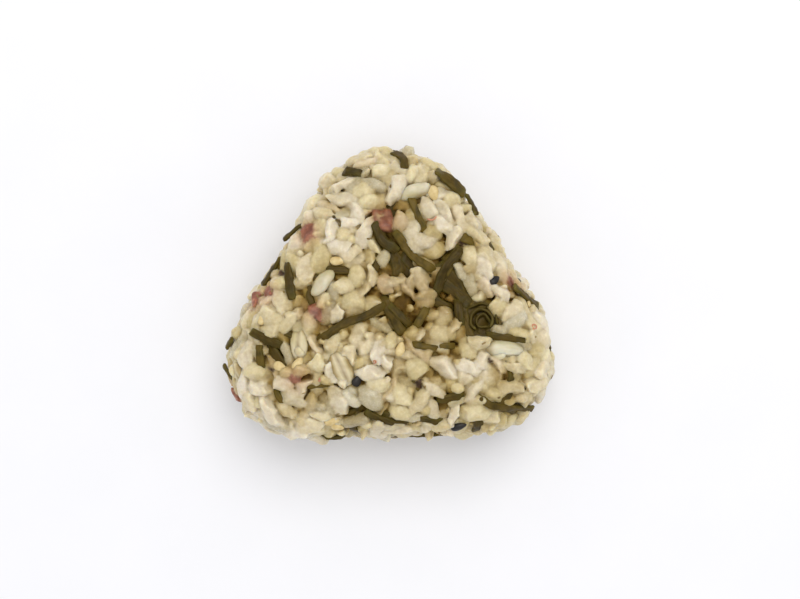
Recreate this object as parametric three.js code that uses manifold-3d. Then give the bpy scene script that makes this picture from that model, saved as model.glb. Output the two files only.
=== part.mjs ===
// Onigiri: a hand-sized ball of pressed rice and barley in the shape of a rounded triangle,
// lying on one of its two faces, with strips of simmered kelp worked into its surface.
//
// Millimetres, +Z up. The origin is on the resting face, under the middle of the ball.
// The triangle's apex points to +Y, and its long side runs along X.
//
// The ball is one solid: a bare core with grains, pickle flakes and sesame seeds fused on.
// Every kelp strip is a separate ribbon that lies on the core, between the grains.

import * as THREE from "three";
import { mergeVertices } from "three/addons/utils/BufferGeometryUtils.js";
import Module from "manifold-3d";

const wasm = await Module();
wasm.setup();

// ---------------------------------------------------------------- driving dimensions

// The three pressed sides: the way each one faces, and its distance from the middle.
const SIDES = [
  { facingDeg: -88.6, reach: 31.3 },
  { facingDeg: 32.4, reach: 30.5 },
  { facingDeg: 148.7, reach: 30.3 },
];
const CORNER_EXPONENT = 1.75; // blends the sides into each other: lower is rounder
const EDGE_EXPONENT = 4; // blends the sides into the faces: higher is squarer
const MID_HEIGHT = 15; // the widest level
const HALF_THICKNESS = 16; // from there to either face, before the lower one is pressed flat
const HOLLOW = { x: 15, y: 3, spread: 10, depth: 1.8 }; // the sunken patch of the upper face

const CORE_DEPTH = 1.7; // how far the bare core lies under the outermost grains
const CORE_SEGMENTS = [24, 12];
const GAP = 0.3; // kept between every strip and the ball

const GRAIN_RINGS = 3;
const GRAIN_FULLNESS = 2.5; // superellipse exponent of a grain's outline
const SURFACE_SAMPLES = 5200; // places that are tried, spread evenly over the ball
const SEED = 20;
const ROD_ROUNDING = 0.8; // how much of its half width a rod's spine stops short of the tips

// Half the length, width and height of each kind of grain, the depth of its middle, how far
// it leans out of the surface, and how many there are at most.
const BARLEY = { half: [3.2, 2.3, 1.9], sides: 6, sinks: [1.7, 2.2], leanDeg: 12, most: 105 };
const RICE = { half: [3.7, 1.65, 1.5], sides: 6, sinks: [1.4, 1.9], leanDeg: 16, most: 103 };
const SESAME = { half: [1.5, 0.95, 0.8], sides: 4, sinks: [1.5, 1.8], leanDeg: 10, most: 14 };
const FLAKE = { half: [2.5, 1.9, 1.1], sides: 5, sinks: [1, 1.2], leanDeg: 0 };
const OVERLAP = 0.97; // grains may press into each other down to this share of their girth

// The grain under the middle that the ball rests on, the grains that stand proud of its two
// wide corners, and the flakes of pickle on its upper face.
const CHOSEN = [
  { kind: BARLEY, at: [0, 0, -1], headingDeg: 15 },
  { kind: BARLEY, at: [40, -11.5, 16], headingDeg: 70, proud: 1.6 },
  { kind: RICE, at: [-40, -10.6, 15], headingDeg: 105, proud: 1.1 },
  { kind: FLAKE, at: [-20.2, 18.3], headingDeg: 10 },
  { kind: FLAKE, at: [-18.2, -0.6], headingDeg: 70 },
  { kind: FLAKE, at: [-2.2, 21.6], headingDeg: 20 },
  { kind: FLAKE, at: [-22.4, -16.4], headingDeg: 35 },
  { kind: FLAKE, at: [18.6, 15.4], headingDeg: 80 },
  { kind: FLAKE, at: [6.6, -19], headingDeg: 55 },
];

const KELP_THICKNESS = 0.9;
const KELP_TWIST_DEG = 10; // a strip rolls this far to either side on its way
const KELP_TWIST_RATE = 0.6; // radians of that roll for each millimetre
const PLAIN_STRIP = {
  thickness: KELP_THICKNESS,
  sink: CORE_DEPTH - 2 * GAP - KELP_THICKNESS / 2, // the depth of its middle
  lift: [0, 0],
  onEdge: false,
  steps: 5,
};

// Strips on the upper face and round its edge. Each route is a few places over the ball, as
// [x, y] on the upper face or [x, y, z] anywhere; lift is how far the two ends stand proud.
const FACE_STRIPS = [
  { route: [[1, 38.2], [3, 36.5], [3.3, 34]], width: 2.1 },
  { route: [[10.6, 33], [14.6, 30], [17.6, 27.2]], width: 3.4, lift: [0.5, 0.5] },
  { route: [[19.9, 28], [20.6, 24.8], [20.3, 22.4]], width: 1.4, lift: [0.3, 0] },
  { route: [[5, 26], [6.3, 22.5], [7.6, 19.6]], width: 1.8 },
  { route: [[-3.6, 20], [-1.9, 16.2], [0.4, 14.6]], width: 2.3 },
  { route: [[1.8, 17.3], [5.6, 12.3], [9.3, 9.8]], width: 2.1 },
  { route: [[16, 13.3], [12.8, 9.4], [11.2, 4.6]], width: 2.2 },
  { route: [[-15.9, -6.7], [-11.2, -3.5], [-6, -1.6], [-2.2, 0.5]], width: 2 },
  { route: [[0.8, 0], [3.7, -2.8]], width: 1.8 },
  { route: [[8.4, -0.1], [6.5, -3.3]], width: 1.9 },
  { route: [[6, -8.4], [10, -9], [13.7, -8.6]], width: 1.5 },
  { route: [[16, 1.2], [16.5, -2.4]], width: 2 },
  { route: [[24.2, -6.2], [28, -6.8], [31.6, -7.2]], width: 1.9 },
  { route: [[29.5, 5.6], [34.2, 0.4, 21]], width: 2, lift: [0, 0.5] },
  { route: [[21.5, -21.4], [25, -23.2], [34.2, -23.9, 20]], width: 1.8, lift: [0, 0.8] },
  { route: [[-4.6, -25.4], [0.4, -27.4]], width: 1.8 },
  { route: [[7.5, -26.4], [10.9, -27.1]], width: 1.9 },
  { route: [[-33.4, -5.2], [-31, -6.4], [-26.8, -8.2]], width: 2.2, lift: [0.5, 0] },
  { route: [[-34.9, -6.4, 22], [-38, -9.4, 20]], width: 1.4, lift: [0.5, 0] },
  { route: [[-38.6, -13.4, 17], [-36, -15.4, 20]], width: 1.8, lift: [1.3, 0] },
  { route: [[-31.4, -9.4], [-31, -13]], width: 1.9 },
  { route: [[-27.6, 17.6, 23], [-22.8, 20.4]], width: 1.5, lift: [1.4, 0] },
  { route: [[-27.2, 12.4], [-29.6, 6, 22]], width: 1.9 },
  { route: [[-24.9, 10.6], [-23.8, 4]], width: 2.2 },
];

// One strip on the upper face is curled up on its edge.
const CURL = {
  x: 21.6,
  y: -2.8,
  radius: 2.4,
  fromDeg: -40,
  toDeg: 235,
  places: 10,
  shape: { width: 1.1, thickness: 0.8, onEdge: true, steps: 12 },
};

// Strips on the walls and the resting face, spread round the ball by these rules.
const WALL_STRIPS = {
  count: 7,
  firstDeg: -70,
  out: 34,
  length: 11,
  heights: [11, 14, 9, 12],
  leansDeg: [-29, 52],
  shape: { width: 1.9 },
};
const BASE_STRIPS = {
  count: 4,
  firstDeg: 25,
  out: 17,
  length: 10,
  headingDeg: 82,
  turnDeg: 136,
  shape: { width: 2, sink: 1.5 },
};

// ---------------------------------------------------------------- seeded random numbers

function seeded(seed) {
  let state = seed;
  return () => {
    state = (state + 0x6d2b79f5) | 0;
    let mixed = Math.imul(state ^ (state >>> 15), 1 | state);
    mixed = (mixed + Math.imul(mixed ^ (mixed >>> 7), 61 | mixed)) ^ mixed;
    return ((mixed ^ (mixed >>> 14)) >>> 0) / 4294967296;
  };
}

// ---------------------------------------------------------------- the ball's outer form

const MIDDLE = new THREE.Vector3(0, 0, MID_HEIGHT);
const sideNormals = SIDES.map(({ facingDeg, reach }) => {
  const facing = THREE.MathUtils.degToRad(facingDeg);
  return new THREE.Vector2(Math.cos(facing) / reach, Math.sin(facing) / reach);
});

// 0 on the ball's upright axis and 1 on its outline seen from above.
function outward(x, y) {
  const sum = sideNormals.reduce(
    (total, side) => total + Math.max(0, side.x * x + side.y * y) ** CORNER_EXPONENT,
    0,
  );
  return sum ** (1 / CORNER_EXPONENT);
}

// How far the sunken patch lies under the upper face.
function sunken(x, y) {
  const away = Math.hypot(x - HOLLOW.x, y - HOLLOW.y) / HOLLOW.spread;
  return HOLLOW.depth * Math.exp(-away * away);
}

// Below 1 inside the ball, 1 on its outer surface and above 1 outside.
function form(point) {
  const rise = point.z - MID_HEIGHT;
  const half = HALF_THICKNESS - (rise > 0 ? sunken(point.x, point.y) : 0);
  const around = outward(point.x, point.y) ** EDGE_EXPONENT;
  return (around + Math.abs(rise / half) ** EDGE_EXPONENT) ** (1 / EDGE_EXPONENT);
}

// The way that the outer surface faces near a point.
function facing(point) {
  const step = 0.05;
  const slope = ["x", "y", "z"].map((axis) => {
    const ahead = point.clone();
    const behind = point.clone();
    ahead[axis] += step;
    behind[axis] -= step;
    return form(ahead) - form(behind);
  });
  return new THREE.Vector3(...slope).normalize();
}

// The place on the outer surface that lies on the ray from the ball's middle through a point.
function onSurface(point) {
  const ray = point.clone().sub(MIDDLE);
  for (let turn = 0; turn < 4; turn += 1) {
    ray.divideScalar(form(ray.clone().add(MIDDLE)));
  }
  return ray.add(MIDDLE);
}

// The place under [x, y] on the upper face, or near [x, y, z] anywhere on the surface.
function placeOver([x, y, z]) {
  if (z !== undefined) return onSurface(new THREE.Vector3(x, y, z));
  const share = Math.min(outward(x, y), 0.985) ** EDGE_EXPONENT;
  const rise = (HALF_THICKNESS - sunken(x, y)) * (1 - share) ** (1 / EDGE_EXPONENT);
  return onSurface(new THREE.Vector3(x, y, MID_HEIGHT + rise));
}

// ---------------------------------------------------------------- solids

function solidOf(geometry) {
  const bare = geometry.clone();
  bare.deleteAttribute("normal");
  bare.deleteAttribute("uv");
  const merged = mergeVertices(bare, 1e-4);
  return new wasm.Manifold(
    new wasm.Mesh({
      numProp: 3,
      vertProperties: new Float32Array(merged.attributes.position.array),
      triVerts: new Uint32Array(merged.index.array),
    }),
  );
}

function geometryOf(solid) {
  const mesh = solid.getMesh();
  const geometry = new THREE.BufferGeometry();
  geometry.setAttribute("position", new THREE.BufferAttribute(mesh.vertProperties, 3));
  geometry.setIndex(new THREE.BufferAttribute(mesh.triVerts, 1));
  geometry.computeVertexNormals();
  return geometry;
}

// Moves every vertex of a geometry to where change() sends it.
function reshape(geometry, change) {
  const position = geometry.attributes.position;
  const vertex = new THREE.Vector3();
  for (let i = 0; i < position.count; i += 1) {
    vertex.fromBufferAttribute(position, i);
    const moved = change(vertex);
    position.setXYZ(i, moved.x, moved.y, moved.z);
  }
  return geometry;
}

// ---------------------------------------------------------------- kelp strips

// A ribbon along a route over the surface. grow makes it larger on every side.
function ribbon(strip, grow) {
  const { route, width, thickness, sink, lift, onEdge, steps } = { ...PLAIN_STRIP, ...strip };
  const last = route.length - 1;
  const places = route.map((spot, i) => {
    const place = placeOver(spot);
    const proud = THREE.MathUtils.lerp(lift[0], lift[1], i / last) - sink;
    return place.addScaledVector(facing(place), proud);
  });
  const path = new THREE.CatmullRomCurve3(places);
  const length = path.getLength();
  const box = new THREE.BoxGeometry(1, width + 2 * grow, thickness + 2 * grow, steps, 1, 1);
  return reshape(box, (vertex) => {
    const along = vertex.x + 0.5;
    const centre = path.getPointAt(along);
    const ahead = path.getTangentAt(along);
    const up = facing(centre);
    const roll = KELP_TWIST_DEG * Math.sin(along * length * KELP_TWIST_RATE);
    const across = new THREE.Vector3()
      .crossVectors(up, ahead)
      .normalize()
      .applyAxisAngle(ahead, THREE.MathUtils.degToRad(onEdge ? 90 : roll));
    const through = new THREE.Vector3().crossVectors(ahead, across).normalize();
    const overrun = Math.abs(vertex.x) > 0.49 ? Math.sign(vertex.x) * grow : 0;
    return centre
      .addScaledVector(ahead, overrun)
      .addScaledVector(across, vertex.y)
      .addScaledVector(through, vertex.z);
  });
}

function curledStrip() {
  const { x, y, radius, fromDeg, toDeg, places, shape } = CURL;
  const route = Array.from({ length: places }, (_, i) => {
    const angle = THREE.MathUtils.degToRad(THREE.MathUtils.lerp(fromDeg, toDeg, i / (places - 1)));
    return [x + radius * Math.cos(angle), y + radius * Math.sin(angle)];
  });
  return { route, ...shape };
}

// A strip in each of these bearings round the ball, through the start, middle and end of a
// line that placeAt() lays over the surface.
function ringOfStrips({ count, firstDeg, length, shape }, placeAt) {
  return Array.from({ length: count }, (_, i) => {
    const bearing = THREE.MathUtils.degToRad(firstDeg + (360 * i) / count);
    return { route: [-0.5, 0, 0.5].map((share) => placeAt(bearing, share * length, i)), ...shape };
  });
}

// Strips round the walls, which lean one way and then the other.
function wallStrips() {
  const { out, heights, leansDeg } = WALL_STRIPS;
  return ringOfStrips(WALL_STRIPS, (bearing, along, i) => {
    const lean = THREE.MathUtils.degToRad(leansDeg[i % leansDeg.length]);
    const swing = bearing + (along * Math.cos(lean)) / out;
    const z = heights[i % heights.length] + along * Math.sin(lean);
    return [out * Math.cos(swing), out * Math.sin(swing), z];
  });
}

// Strips in a ring on the resting face, each turned a little further than the last.
function baseStrips() {
  const { out, headingDeg, turnDeg } = BASE_STRIPS;
  return ringOfStrips(BASE_STRIPS, (bearing, along, i) => {
    const heading = THREE.MathUtils.degToRad(headingDeg + turnDeg * i);
    const x = out * Math.cos(bearing) + along * Math.cos(heading);
    const y = out * Math.sin(bearing) + along * Math.sin(heading);
    return [x, y, 0];
  });
}

const strips = [...FACE_STRIPS, curledStrip(), ...wallStrips(), ...baseStrips()];

// ---------------------------------------------------------------- grains

// A plump grain along X, as wide and thick as its kind, with rounded ends.
function grainGeometry({ half: [halfLength, halfWidth, halfHeight], sides }) {
  const ball = new THREE.SphereGeometry(1, sides, GRAIN_RINGS).rotateZ(Math.PI / 2);
  return reshape(ball, (vertex) => {
    const girth = Math.hypot(vertex.y, vertex.z);
    const full = (1 - Math.abs(vertex.x) ** GRAIN_FULLNESS) ** (1 / GRAIN_FULLNESS);
    const widen = girth > 1e-6 ? full / girth : 0;
    return new THREE.Vector3(
      vertex.x * halfLength,
      vertex.y * widen * halfWidth,
      vertex.z * widen * halfHeight,
    );
  });
}

// Places spread evenly over the ball's surface, in an order that is drawn at random. Rays
// spread evenly round the middle are thinned where they meet near or square parts of it.
function surfacePlaces(random) {
  const turn = Math.PI * (3 - Math.sqrt(5));
  const widest = 2.2 * HALF_THICKNESS;
  const places = [];
  for (let i = 0; i < SURFACE_SAMPLES; i += 1) {
    const z = 1 - (2 * i + 1) / SURFACE_SAMPLES;
    const girth = Math.sqrt(1 - z * z);
    const ray = new THREE.Vector3(girth * Math.cos(i * turn), girth * Math.sin(i * turn), z);
    const place = onSurface(ray.clone().add(MIDDLE));
    const reach = place.distanceTo(MIDDLE);
    const area = (reach * reach) / ray.dot(facing(place));
    if (random() * widest * widest < area) places.push({ place, order: random() });
  }
  return places.sort((a, b) => a.order - b.order).map(({ place }) => place);
}

// A grain's resting place. Grains are kept apart as rods: a spine with a radius.
function grainAt(kind, place, heading, proud = 0) {
  const up = facing(place);
  const along = heading.clone().addScaledVector(up, -heading.dot(up)).normalize();
  const [halfLength, halfWidth] = kind.half;
  const reach = halfLength - ROD_ROUNDING * halfWidth;
  const ends = [-1, 1].map((sign) => place.clone().addScaledVector(along, sign * reach));
  return { kind, place, up, along, proud, rod: { ends, radius: halfWidth } };
}

function rodsClear(a, b, share) {
  const near = share * (a.radius + b.radius);
  const beads = (rod) => [0, 0.25, 0.5, 0.75, 1].map((t) => rod.ends[0].clone().lerp(rod.ends[1], t));
  const others = beads(b);
  return beads(a).every((p) => others.every((q) => p.distanceTo(q) > near));
}

function stripRods() {
  return strips.flatMap(({ route, width }) => {
    const places = route.map(placeOver);
    return places.slice(1).map((place, i) => ({ ends: [places[i], place], radius: width / 2 + GAP }));
  });
}

// The chosen grains come first and then one kind after another, the largest first, wherever
// there is room. Each is tried in four headings.
function layGrains(random) {
  const laid = CHOSEN.map(({ kind, at, headingDeg, proud }) => {
    const heading = THREE.MathUtils.degToRad(headingDeg);
    const level = new THREE.Vector3(Math.cos(heading), Math.sin(heading), 0);
    return grainAt(kind, placeOver(at), level, proud);
  });
  const keepClear = stripRods();
  const places = surfacePlaces(random);
  [BARLEY, RICE, SESAME].forEach((kind) => {
    const first = laid.length;
    places.forEach((place) => {
      if (laid.length - first >= kind.most) return;
      const up = facing(place);
      const heading = new THREE.Vector3(random() - 0.5, random() - 0.5, random() - 0.5);
      const fitting = [0, 1, 2, 3]
        .map((i) => grainAt(kind, place, heading.clone().applyAxisAngle(up, (i * Math.PI) / 4)))
        .find(
          ({ rod }) =>
            laid.every((other) => rodsClear(rod, other.rod, OVERLAP)) &&
            keepClear.every((other) => rodsClear(rod, other, 1)),
        );
      if (fitting) laid.push(fitting);
    });
  });
  return laid;
}

function grainSolid({ kind, place, up, along, proud }, random) {
  const across = new THREE.Vector3().crossVectors(up, along);
  const lean = THREE.MathUtils.degToRad(kind.leanDeg) * (2 * random() - 1);
  const leaning = along.clone().applyAxisAngle(across, lean);
  const top = new THREE.Vector3().crossVectors(leaning, across);
  const sink = THREE.MathUtils.lerp(...kind.sinks, random());
  const pose = new THREE.Matrix4()
    .makeBasis(leaning, across, top)
    .setPosition(place.clone().addScaledVector(up, proud - sink));
  return solidOf(grainGeometry(kind).applyMatrix4(pose));
}

// ---------------------------------------------------------------- the ball

function coreSolid() {
  const ball = new THREE.SphereGeometry(1, ...CORE_SEGMENTS).rotateX(Math.PI / 2);
  return solidOf(
    reshape(ball, (vertex) => {
      const place = onSurface(vertex.clone().add(MIDDLE));
      const ripple = 0.2 * Math.sin(place.x * 0.9) * Math.sin(place.y * 0.8 + place.z * 0.7);
      return place.addScaledVector(facing(place), ripple - CORE_DEPTH);
    }),
  );
}

// The table's own space, which the ball is pressed flat on.
function tableSolid() {
  const size = 120;
  return solidOf(new THREE.BoxGeometry(size, size, size).translate(0, 0, -size / 2));
}

function largestBody(solid) {
  return solid.decompose().reduce((best, body) => (body.volume() > best.volume() ? body : best));
}

function riceBall() {
  const random = seeded(SEED);
  const grains = layGrains(random).map((grain) => grainSolid(grain, random));
  const whole = wasm.Manifold.union([coreSolid(), ...grains]);
  const beds = wasm.Manifold.union(strips.map((strip) => solidOf(ribbon(strip, GAP))));
  return largestBody(whole.subtract(beds).subtract(tableSolid()));
}

// ---------------------------------------------------------------- the part

const riceMaterial = new THREE.MeshStandardMaterial({ color: 0xdccfa6, roughness: 0.55, metalness: 0 });
const kelpMaterial = new THREE.MeshStandardMaterial({ color: 0x5a4d26, roughness: 0.4, metalness: 0 });

function namedMesh(name, geometry, material) {
  const mesh = new THREE.Mesh(geometry, material);
  mesh.name = name;
  return mesh;
}

const onigiri = new THREE.Group();
onigiri.add(namedMesh("rice_ball", geometryOf(riceBall()), riceMaterial));
strips.forEach((strip, i) => {
  const name = `kelp_strip_${String(i + 1).padStart(2, "0")}`;
  const above = solidOf(ribbon(strip, 0)).subtract(tableSolid());
  onigiri.add(namedMesh(name, geometryOf(above), kelpMaterial));
});

export default onigiri;
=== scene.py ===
"""The looks of an onigiri: a hand-pressed rice ball of rice, barley, kelp, pickle and sesame.

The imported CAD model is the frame. Its ball is one solid with coarse grains, and each of its
kelp strips is a plain ribbon. This script fills nearly the same outer form with a packed heap
of real grains, round strips on nearly the same routes. Lengths are in millimetres until a mesh
is made.
"""

import math

import bpy
import numpy as np
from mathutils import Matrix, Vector


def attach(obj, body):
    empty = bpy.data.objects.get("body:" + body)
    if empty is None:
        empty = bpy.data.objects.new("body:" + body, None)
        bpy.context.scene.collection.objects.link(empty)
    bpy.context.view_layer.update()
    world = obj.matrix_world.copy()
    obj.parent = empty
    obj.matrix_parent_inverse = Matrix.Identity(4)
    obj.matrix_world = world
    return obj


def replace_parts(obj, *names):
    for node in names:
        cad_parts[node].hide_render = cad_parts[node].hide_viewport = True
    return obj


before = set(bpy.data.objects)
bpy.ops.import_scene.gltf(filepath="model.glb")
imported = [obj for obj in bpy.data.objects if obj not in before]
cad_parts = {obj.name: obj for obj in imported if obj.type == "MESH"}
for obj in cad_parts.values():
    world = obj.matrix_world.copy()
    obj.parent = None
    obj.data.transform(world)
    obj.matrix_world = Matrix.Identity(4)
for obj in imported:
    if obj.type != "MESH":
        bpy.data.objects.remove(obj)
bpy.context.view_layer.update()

MM = 0.001
NEXT_TO_NOTHING = 1e-9
RANDOM = np.random.default_rng(11)

# ---------------------------------------------------------------- the ball's outer form

# The three pressed sides: the way each one faces, in degrees, and its reach from the middle.
SIDES = ((-88.6, 31.3), (32.4, 30.5), (148.7, 30.3))
CORNER_EXPONENT = 1.75
EDGE_EXPONENT = 4
MID_HEIGHT = 15.0
HALF_THICKNESS = 16.0
HOLLOW = {"x": 15.0, "y": 3.0, "spread": 10.0, "depth": 2.5}  # the sunken patch of the upper face
SLOPE_STEP = 0.05
LEAST_SLOPE = 0.008  # of form() for each millimetre, so that no depth is out of bounds near the middle
SURFACE_ROUNDS = 4  # of closing in on the outer surface
OUTLINE_SHARE = 0.985  # no place on the upper face lies nearer to the outline than this
FAR_OUT = 20.0  # where a ray from the middle starts when it looks for the outer surface
MIDDLE = np.array([0.0, 0.0, MID_HEIGHT])

SIDE_NORMALS = np.array(
    [[math.cos(math.radians(a)) / reach, math.sin(math.radians(a)) / reach] for a, reach in SIDES]
)


def outward(points):
    """0 on the ball's upright axis and 1 on its outline seen from above."""
    reach = np.maximum(0.0, points[..., :2] @ SIDE_NORMALS.T)
    return (reach**CORNER_EXPONENT).sum(-1) ** (1 / CORNER_EXPONENT)


def sunken(points):
    """How far the sunken patch lies under the upper face."""
    away = np.hypot(points[..., 0] - HOLLOW["x"], points[..., 1] - HOLLOW["y"]) / HOLLOW["spread"]
    return HOLLOW["depth"] * np.exp(-(away**2))


def form(points):
    """Below 1 inside the ball, 1 on its outer surface and above 1 outside."""
    rise = points[..., 2] - MID_HEIGHT
    half = HALF_THICKNESS - np.where(rise > 0, sunken(points), 0.0)
    total = outward(points) ** EDGE_EXPONENT + np.abs(rise / half) ** EDGE_EXPONENT
    return total ** (1 / EDGE_EXPONENT)


def slope(points):
    """The gradient of form()."""
    parts = []
    for step in SLOPE_STEP * np.eye(3):
        parts.append((form(points + step) - form(points - step)) / (2 * SLOPE_STEP))
    return np.stack(parts, -1)


def unit(vectors):
    return vectors / np.maximum(np.linalg.norm(vectors, axis=-1, keepdims=True), NEXT_TO_NOTHING)


def depth_and_facing(points):
    """How deep points lie under the outer surface, and the way that surface faces there."""
    gradient = slope(points)
    steepness = np.maximum(np.linalg.norm(gradient, axis=-1), LEAST_SLOPE)
    return (1 - form(points)) / steepness, unit(gradient)


def on_surface(points):
    """The places on the outer surface on the rays from the middle through some points."""
    rays = points - MIDDLE
    for _ in range(SURFACE_ROUNDS):
        rays = rays / form(rays + MIDDLE)[..., None]
    return rays + MIDDLE


def place_over(spot):
    """The place under (x, y) on the upper face, or near (x, y, z) anywhere on the surface."""
    if len(spot) == 3:
        return on_surface(np.array(spot, float))
    flat = np.array([spot[0], spot[1], 0.0])
    share = min(float(outward(flat)), OUTLINE_SHARE) ** EDGE_EXPONENT
    rise = (HALF_THICKNESS - sunken(flat)) * (1 - share) ** (1 / EDGE_EXPONENT)
    return on_surface(flat + [0, 0, MID_HEIGHT + rise])


# ---------------------------------------------------------------- pieces and meshes


def new_piece(name, vertices, faces, attributes, material, slot):
    """A mesh object of the ball, from vertices in millimetres, riding on the ball's one body."""
    mesh = bpy.data.meshes.new(name)
    mesh.from_pydata((np.asarray(vertices) * MM).tolist(), [], faces)
    for label, values in attributes.items():
        values = np.asarray(values, np.float32)
        kind, field = ("FLOAT", "value") if values.ndim == 1 else ("FLOAT_VECTOR", "vector")
        mesh.attributes.new(label, kind, "POINT").data.foreach_set(field, values.ravel())
    mesh.polygons.foreach_set("use_smooth", [True] * len(mesh.polygons))
    mesh.materials.append(material)
    mesh.validate()
    piece = bpy.data.objects.new(name, mesh)
    bpy.context.scene.collection.objects.link(piece)
    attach(piece, "root")
    return piece


def ring_faces(rings, sectors):
    """The faces between rings of vertices that follow each other."""
    faces = []
    for a in range(0, (rings - 1) * sectors, sectors):
        for j in range(sectors):
            k = (j + 1) % sectors
            faces.append((a + j, a + sectors + j, a + sectors + k, a + k))
    return faces


def ball_faces(rings, sectors):
    """The faces of a ball: its rings of vertices come first and then its two poles."""
    faces = ring_faces(rings, sectors)
    first, last = rings * sectors, rings * sectors + 1
    for j in range(sectors):
        k = (j + 1) % sectors
        faces.append((first, j, k))
        faces.append((last, (rings - 1) * sectors + k, (rings - 1) * sectors + j))
    return faces


def joined_faces(faces, vertices_each, count):
    """The faces of many copies of one small mesh."""
    joined = []
    for start in range(0, vertices_each * count, vertices_each):
        joined.extend([tuple(start + corner for corner in face) for face in faces])
    return joined


# ---------------------------------------------------------------- kelp strips

PLAIN_STRIP = {"lift": (0, 0), "on_edge": False, "sink": 0.65, "thickness": 1.0}


def kelp_strip(width, *route, **more):
    """A strip through some places: (x, y) on the upper face or (x, y, z) anywhere. sink is how deep
    it lies under the outer surface, and lift is how much less than that at either end."""
    return {**PLAIN_STRIP, "route": route, "width": width, **more}


# The strips on the upper face and round its edge.
FACE_STRIPS = [
    kelp_strip(2.1, (1, 38.2), (3, 36.5), (3.3, 34)),
    kelp_strip(3.2, (10.6, 33), (14.6, 30), (17.6, 27.2), lift=(0.9, 0.9)),
    kelp_strip(1.6, (17.8, 27.6), (19.4, 24.8), (20.3, 22.4), lift=(0.9, 0.8)),
    kelp_strip(1.8, (5, 26), (6.3, 22.5), (7.6, 19.6)),
    kelp_strip(2.3, (-3.6, 20), (-1.9, 16.2), (0.4, 14.6)),
    kelp_strip(2.1, (1.8, 17.3), (5.6, 12.3), (9.3, 9.8)),
    kelp_strip(2.2, (16, 13.3), (12.8, 9.4), (11.2, 4.6)),
    kelp_strip(2, (-15.9, -6.7), (-11.2, -3.5), (-6, -1.6), (-2.2, 0.5)),
    kelp_strip(1.8, (0.8, 0), (3.7, -2.8)),
    kelp_strip(1.9, (8.4, -0.1), (6.5, -3.3)),
    kelp_strip(1.5, (6, -8.4), (10, -9), (13.7, -8.6)),
    kelp_strip(2, (16, 1.2), (16.5, -2.4)),
    kelp_strip(1.9, (24.2, -6.2), (28, -6.8), (31.6, -7.2)),
    kelp_strip(2.6, (29.5, 5.6), (34.2, 0.4, 21), lift=(0.4, 0.6)),
    kelp_strip(1.8, (21.5, -21.4), (25, -23.2), (34.2, -23.9, 20), lift=(0, 0.8)),
    kelp_strip(1.8, (-4.6, -25.4), (0.4, -27.4)),
    kelp_strip(1.9, (7.5, -26.4), (10.9, -27.1)),
    kelp_strip(2.2, (-33.4, -5.2), (-31, -6.4), (-26.8, -8.2), lift=(0.5, 0)),
    kelp_strip(1.4, (-34.9, -6.4, 22), (-38, -9.4, 20), lift=(0.7, 1.4)),
    kelp_strip(1.8, (-38.6, -13.4, 17), (-36, -15.4, 20), lift=(2.0, 0.3)),
    kelp_strip(1.9, (-31.4, -9.4), (-31, -13)),
    kelp_strip(1.5, (-27.6, 17.6, 23), (-22.8, 20.4), lift=(1.4, 0)),
    kelp_strip(1.9, (-27.2, 12.4), (-29.6, 6, 22)),
    kelp_strip(2.2, (-24.9, 10.6), (-23.8, 4)),
]

# The strip that is curled up on its edge, and the rules for those on the walls and the base.
CURL = {"x": 21.6, "y": -2.6, "radius": 2.6, "from": -40, "to": 235, "places": 10}
WALL = {
    "count": 7, "first": -70, "out": 34, "length": 11, "width": 1.9, "heights": (11, 14, 9, 12),
    "leans": (-29, 52),
}
BASE = {"count": 4, "first": 25, "out": 17, "length": 10, "width": 2, "heading": 82, "turn": 136}


def polar(x, y, reach, bearing):
    """The place that lies some way off in a bearing, in radians."""
    return x + reach * math.cos(bearing), y + reach * math.sin(bearing)


def curled_strip():
    angles = np.radians(np.linspace(CURL["from"], CURL["to"], CURL["places"]))
    route = [polar(CURL["x"], CURL["y"], CURL["radius"], angle) for angle in angles]
    return kelp_strip(1.8, *route, thickness=0.7, on_edge=True)


def wall_place(bearing, along, i):
    lean = math.radians(WALL["leans"][i % len(WALL["leans"])])
    swing = bearing + along * math.cos(lean) / WALL["out"]
    z = WALL["heights"][i % len(WALL["heights"])] + along * math.sin(lean)
    return (*polar(0, 0, WALL["out"], swing), z)


def base_place(bearing, along, i):
    heading = math.radians(BASE["heading"] + BASE["turn"] * i)
    return (*polar(*polar(0, 0, BASE["out"], bearing), along, heading), 0)


def ring_of_strips(rule, place_at, **more):
    """A strip in each bearing round the ball, through three places that place_at() gives."""
    strips = []
    for i in range(rule["count"]):
        bearing = math.radians(rule["first"] + 360 * i / rule["count"])
        route = [place_at(bearing, share * rule["length"], i) for share in (-0.5, 0, 0.5)]
        strips.append(kelp_strip(rule["width"], *route, **more))
    return strips


STRIPS = [
    *FACE_STRIPS,
    curled_strip(),
    *ring_of_strips(WALL, wall_place),
    *ring_of_strips(BASE, base_place, sink=1.5),
]

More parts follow.
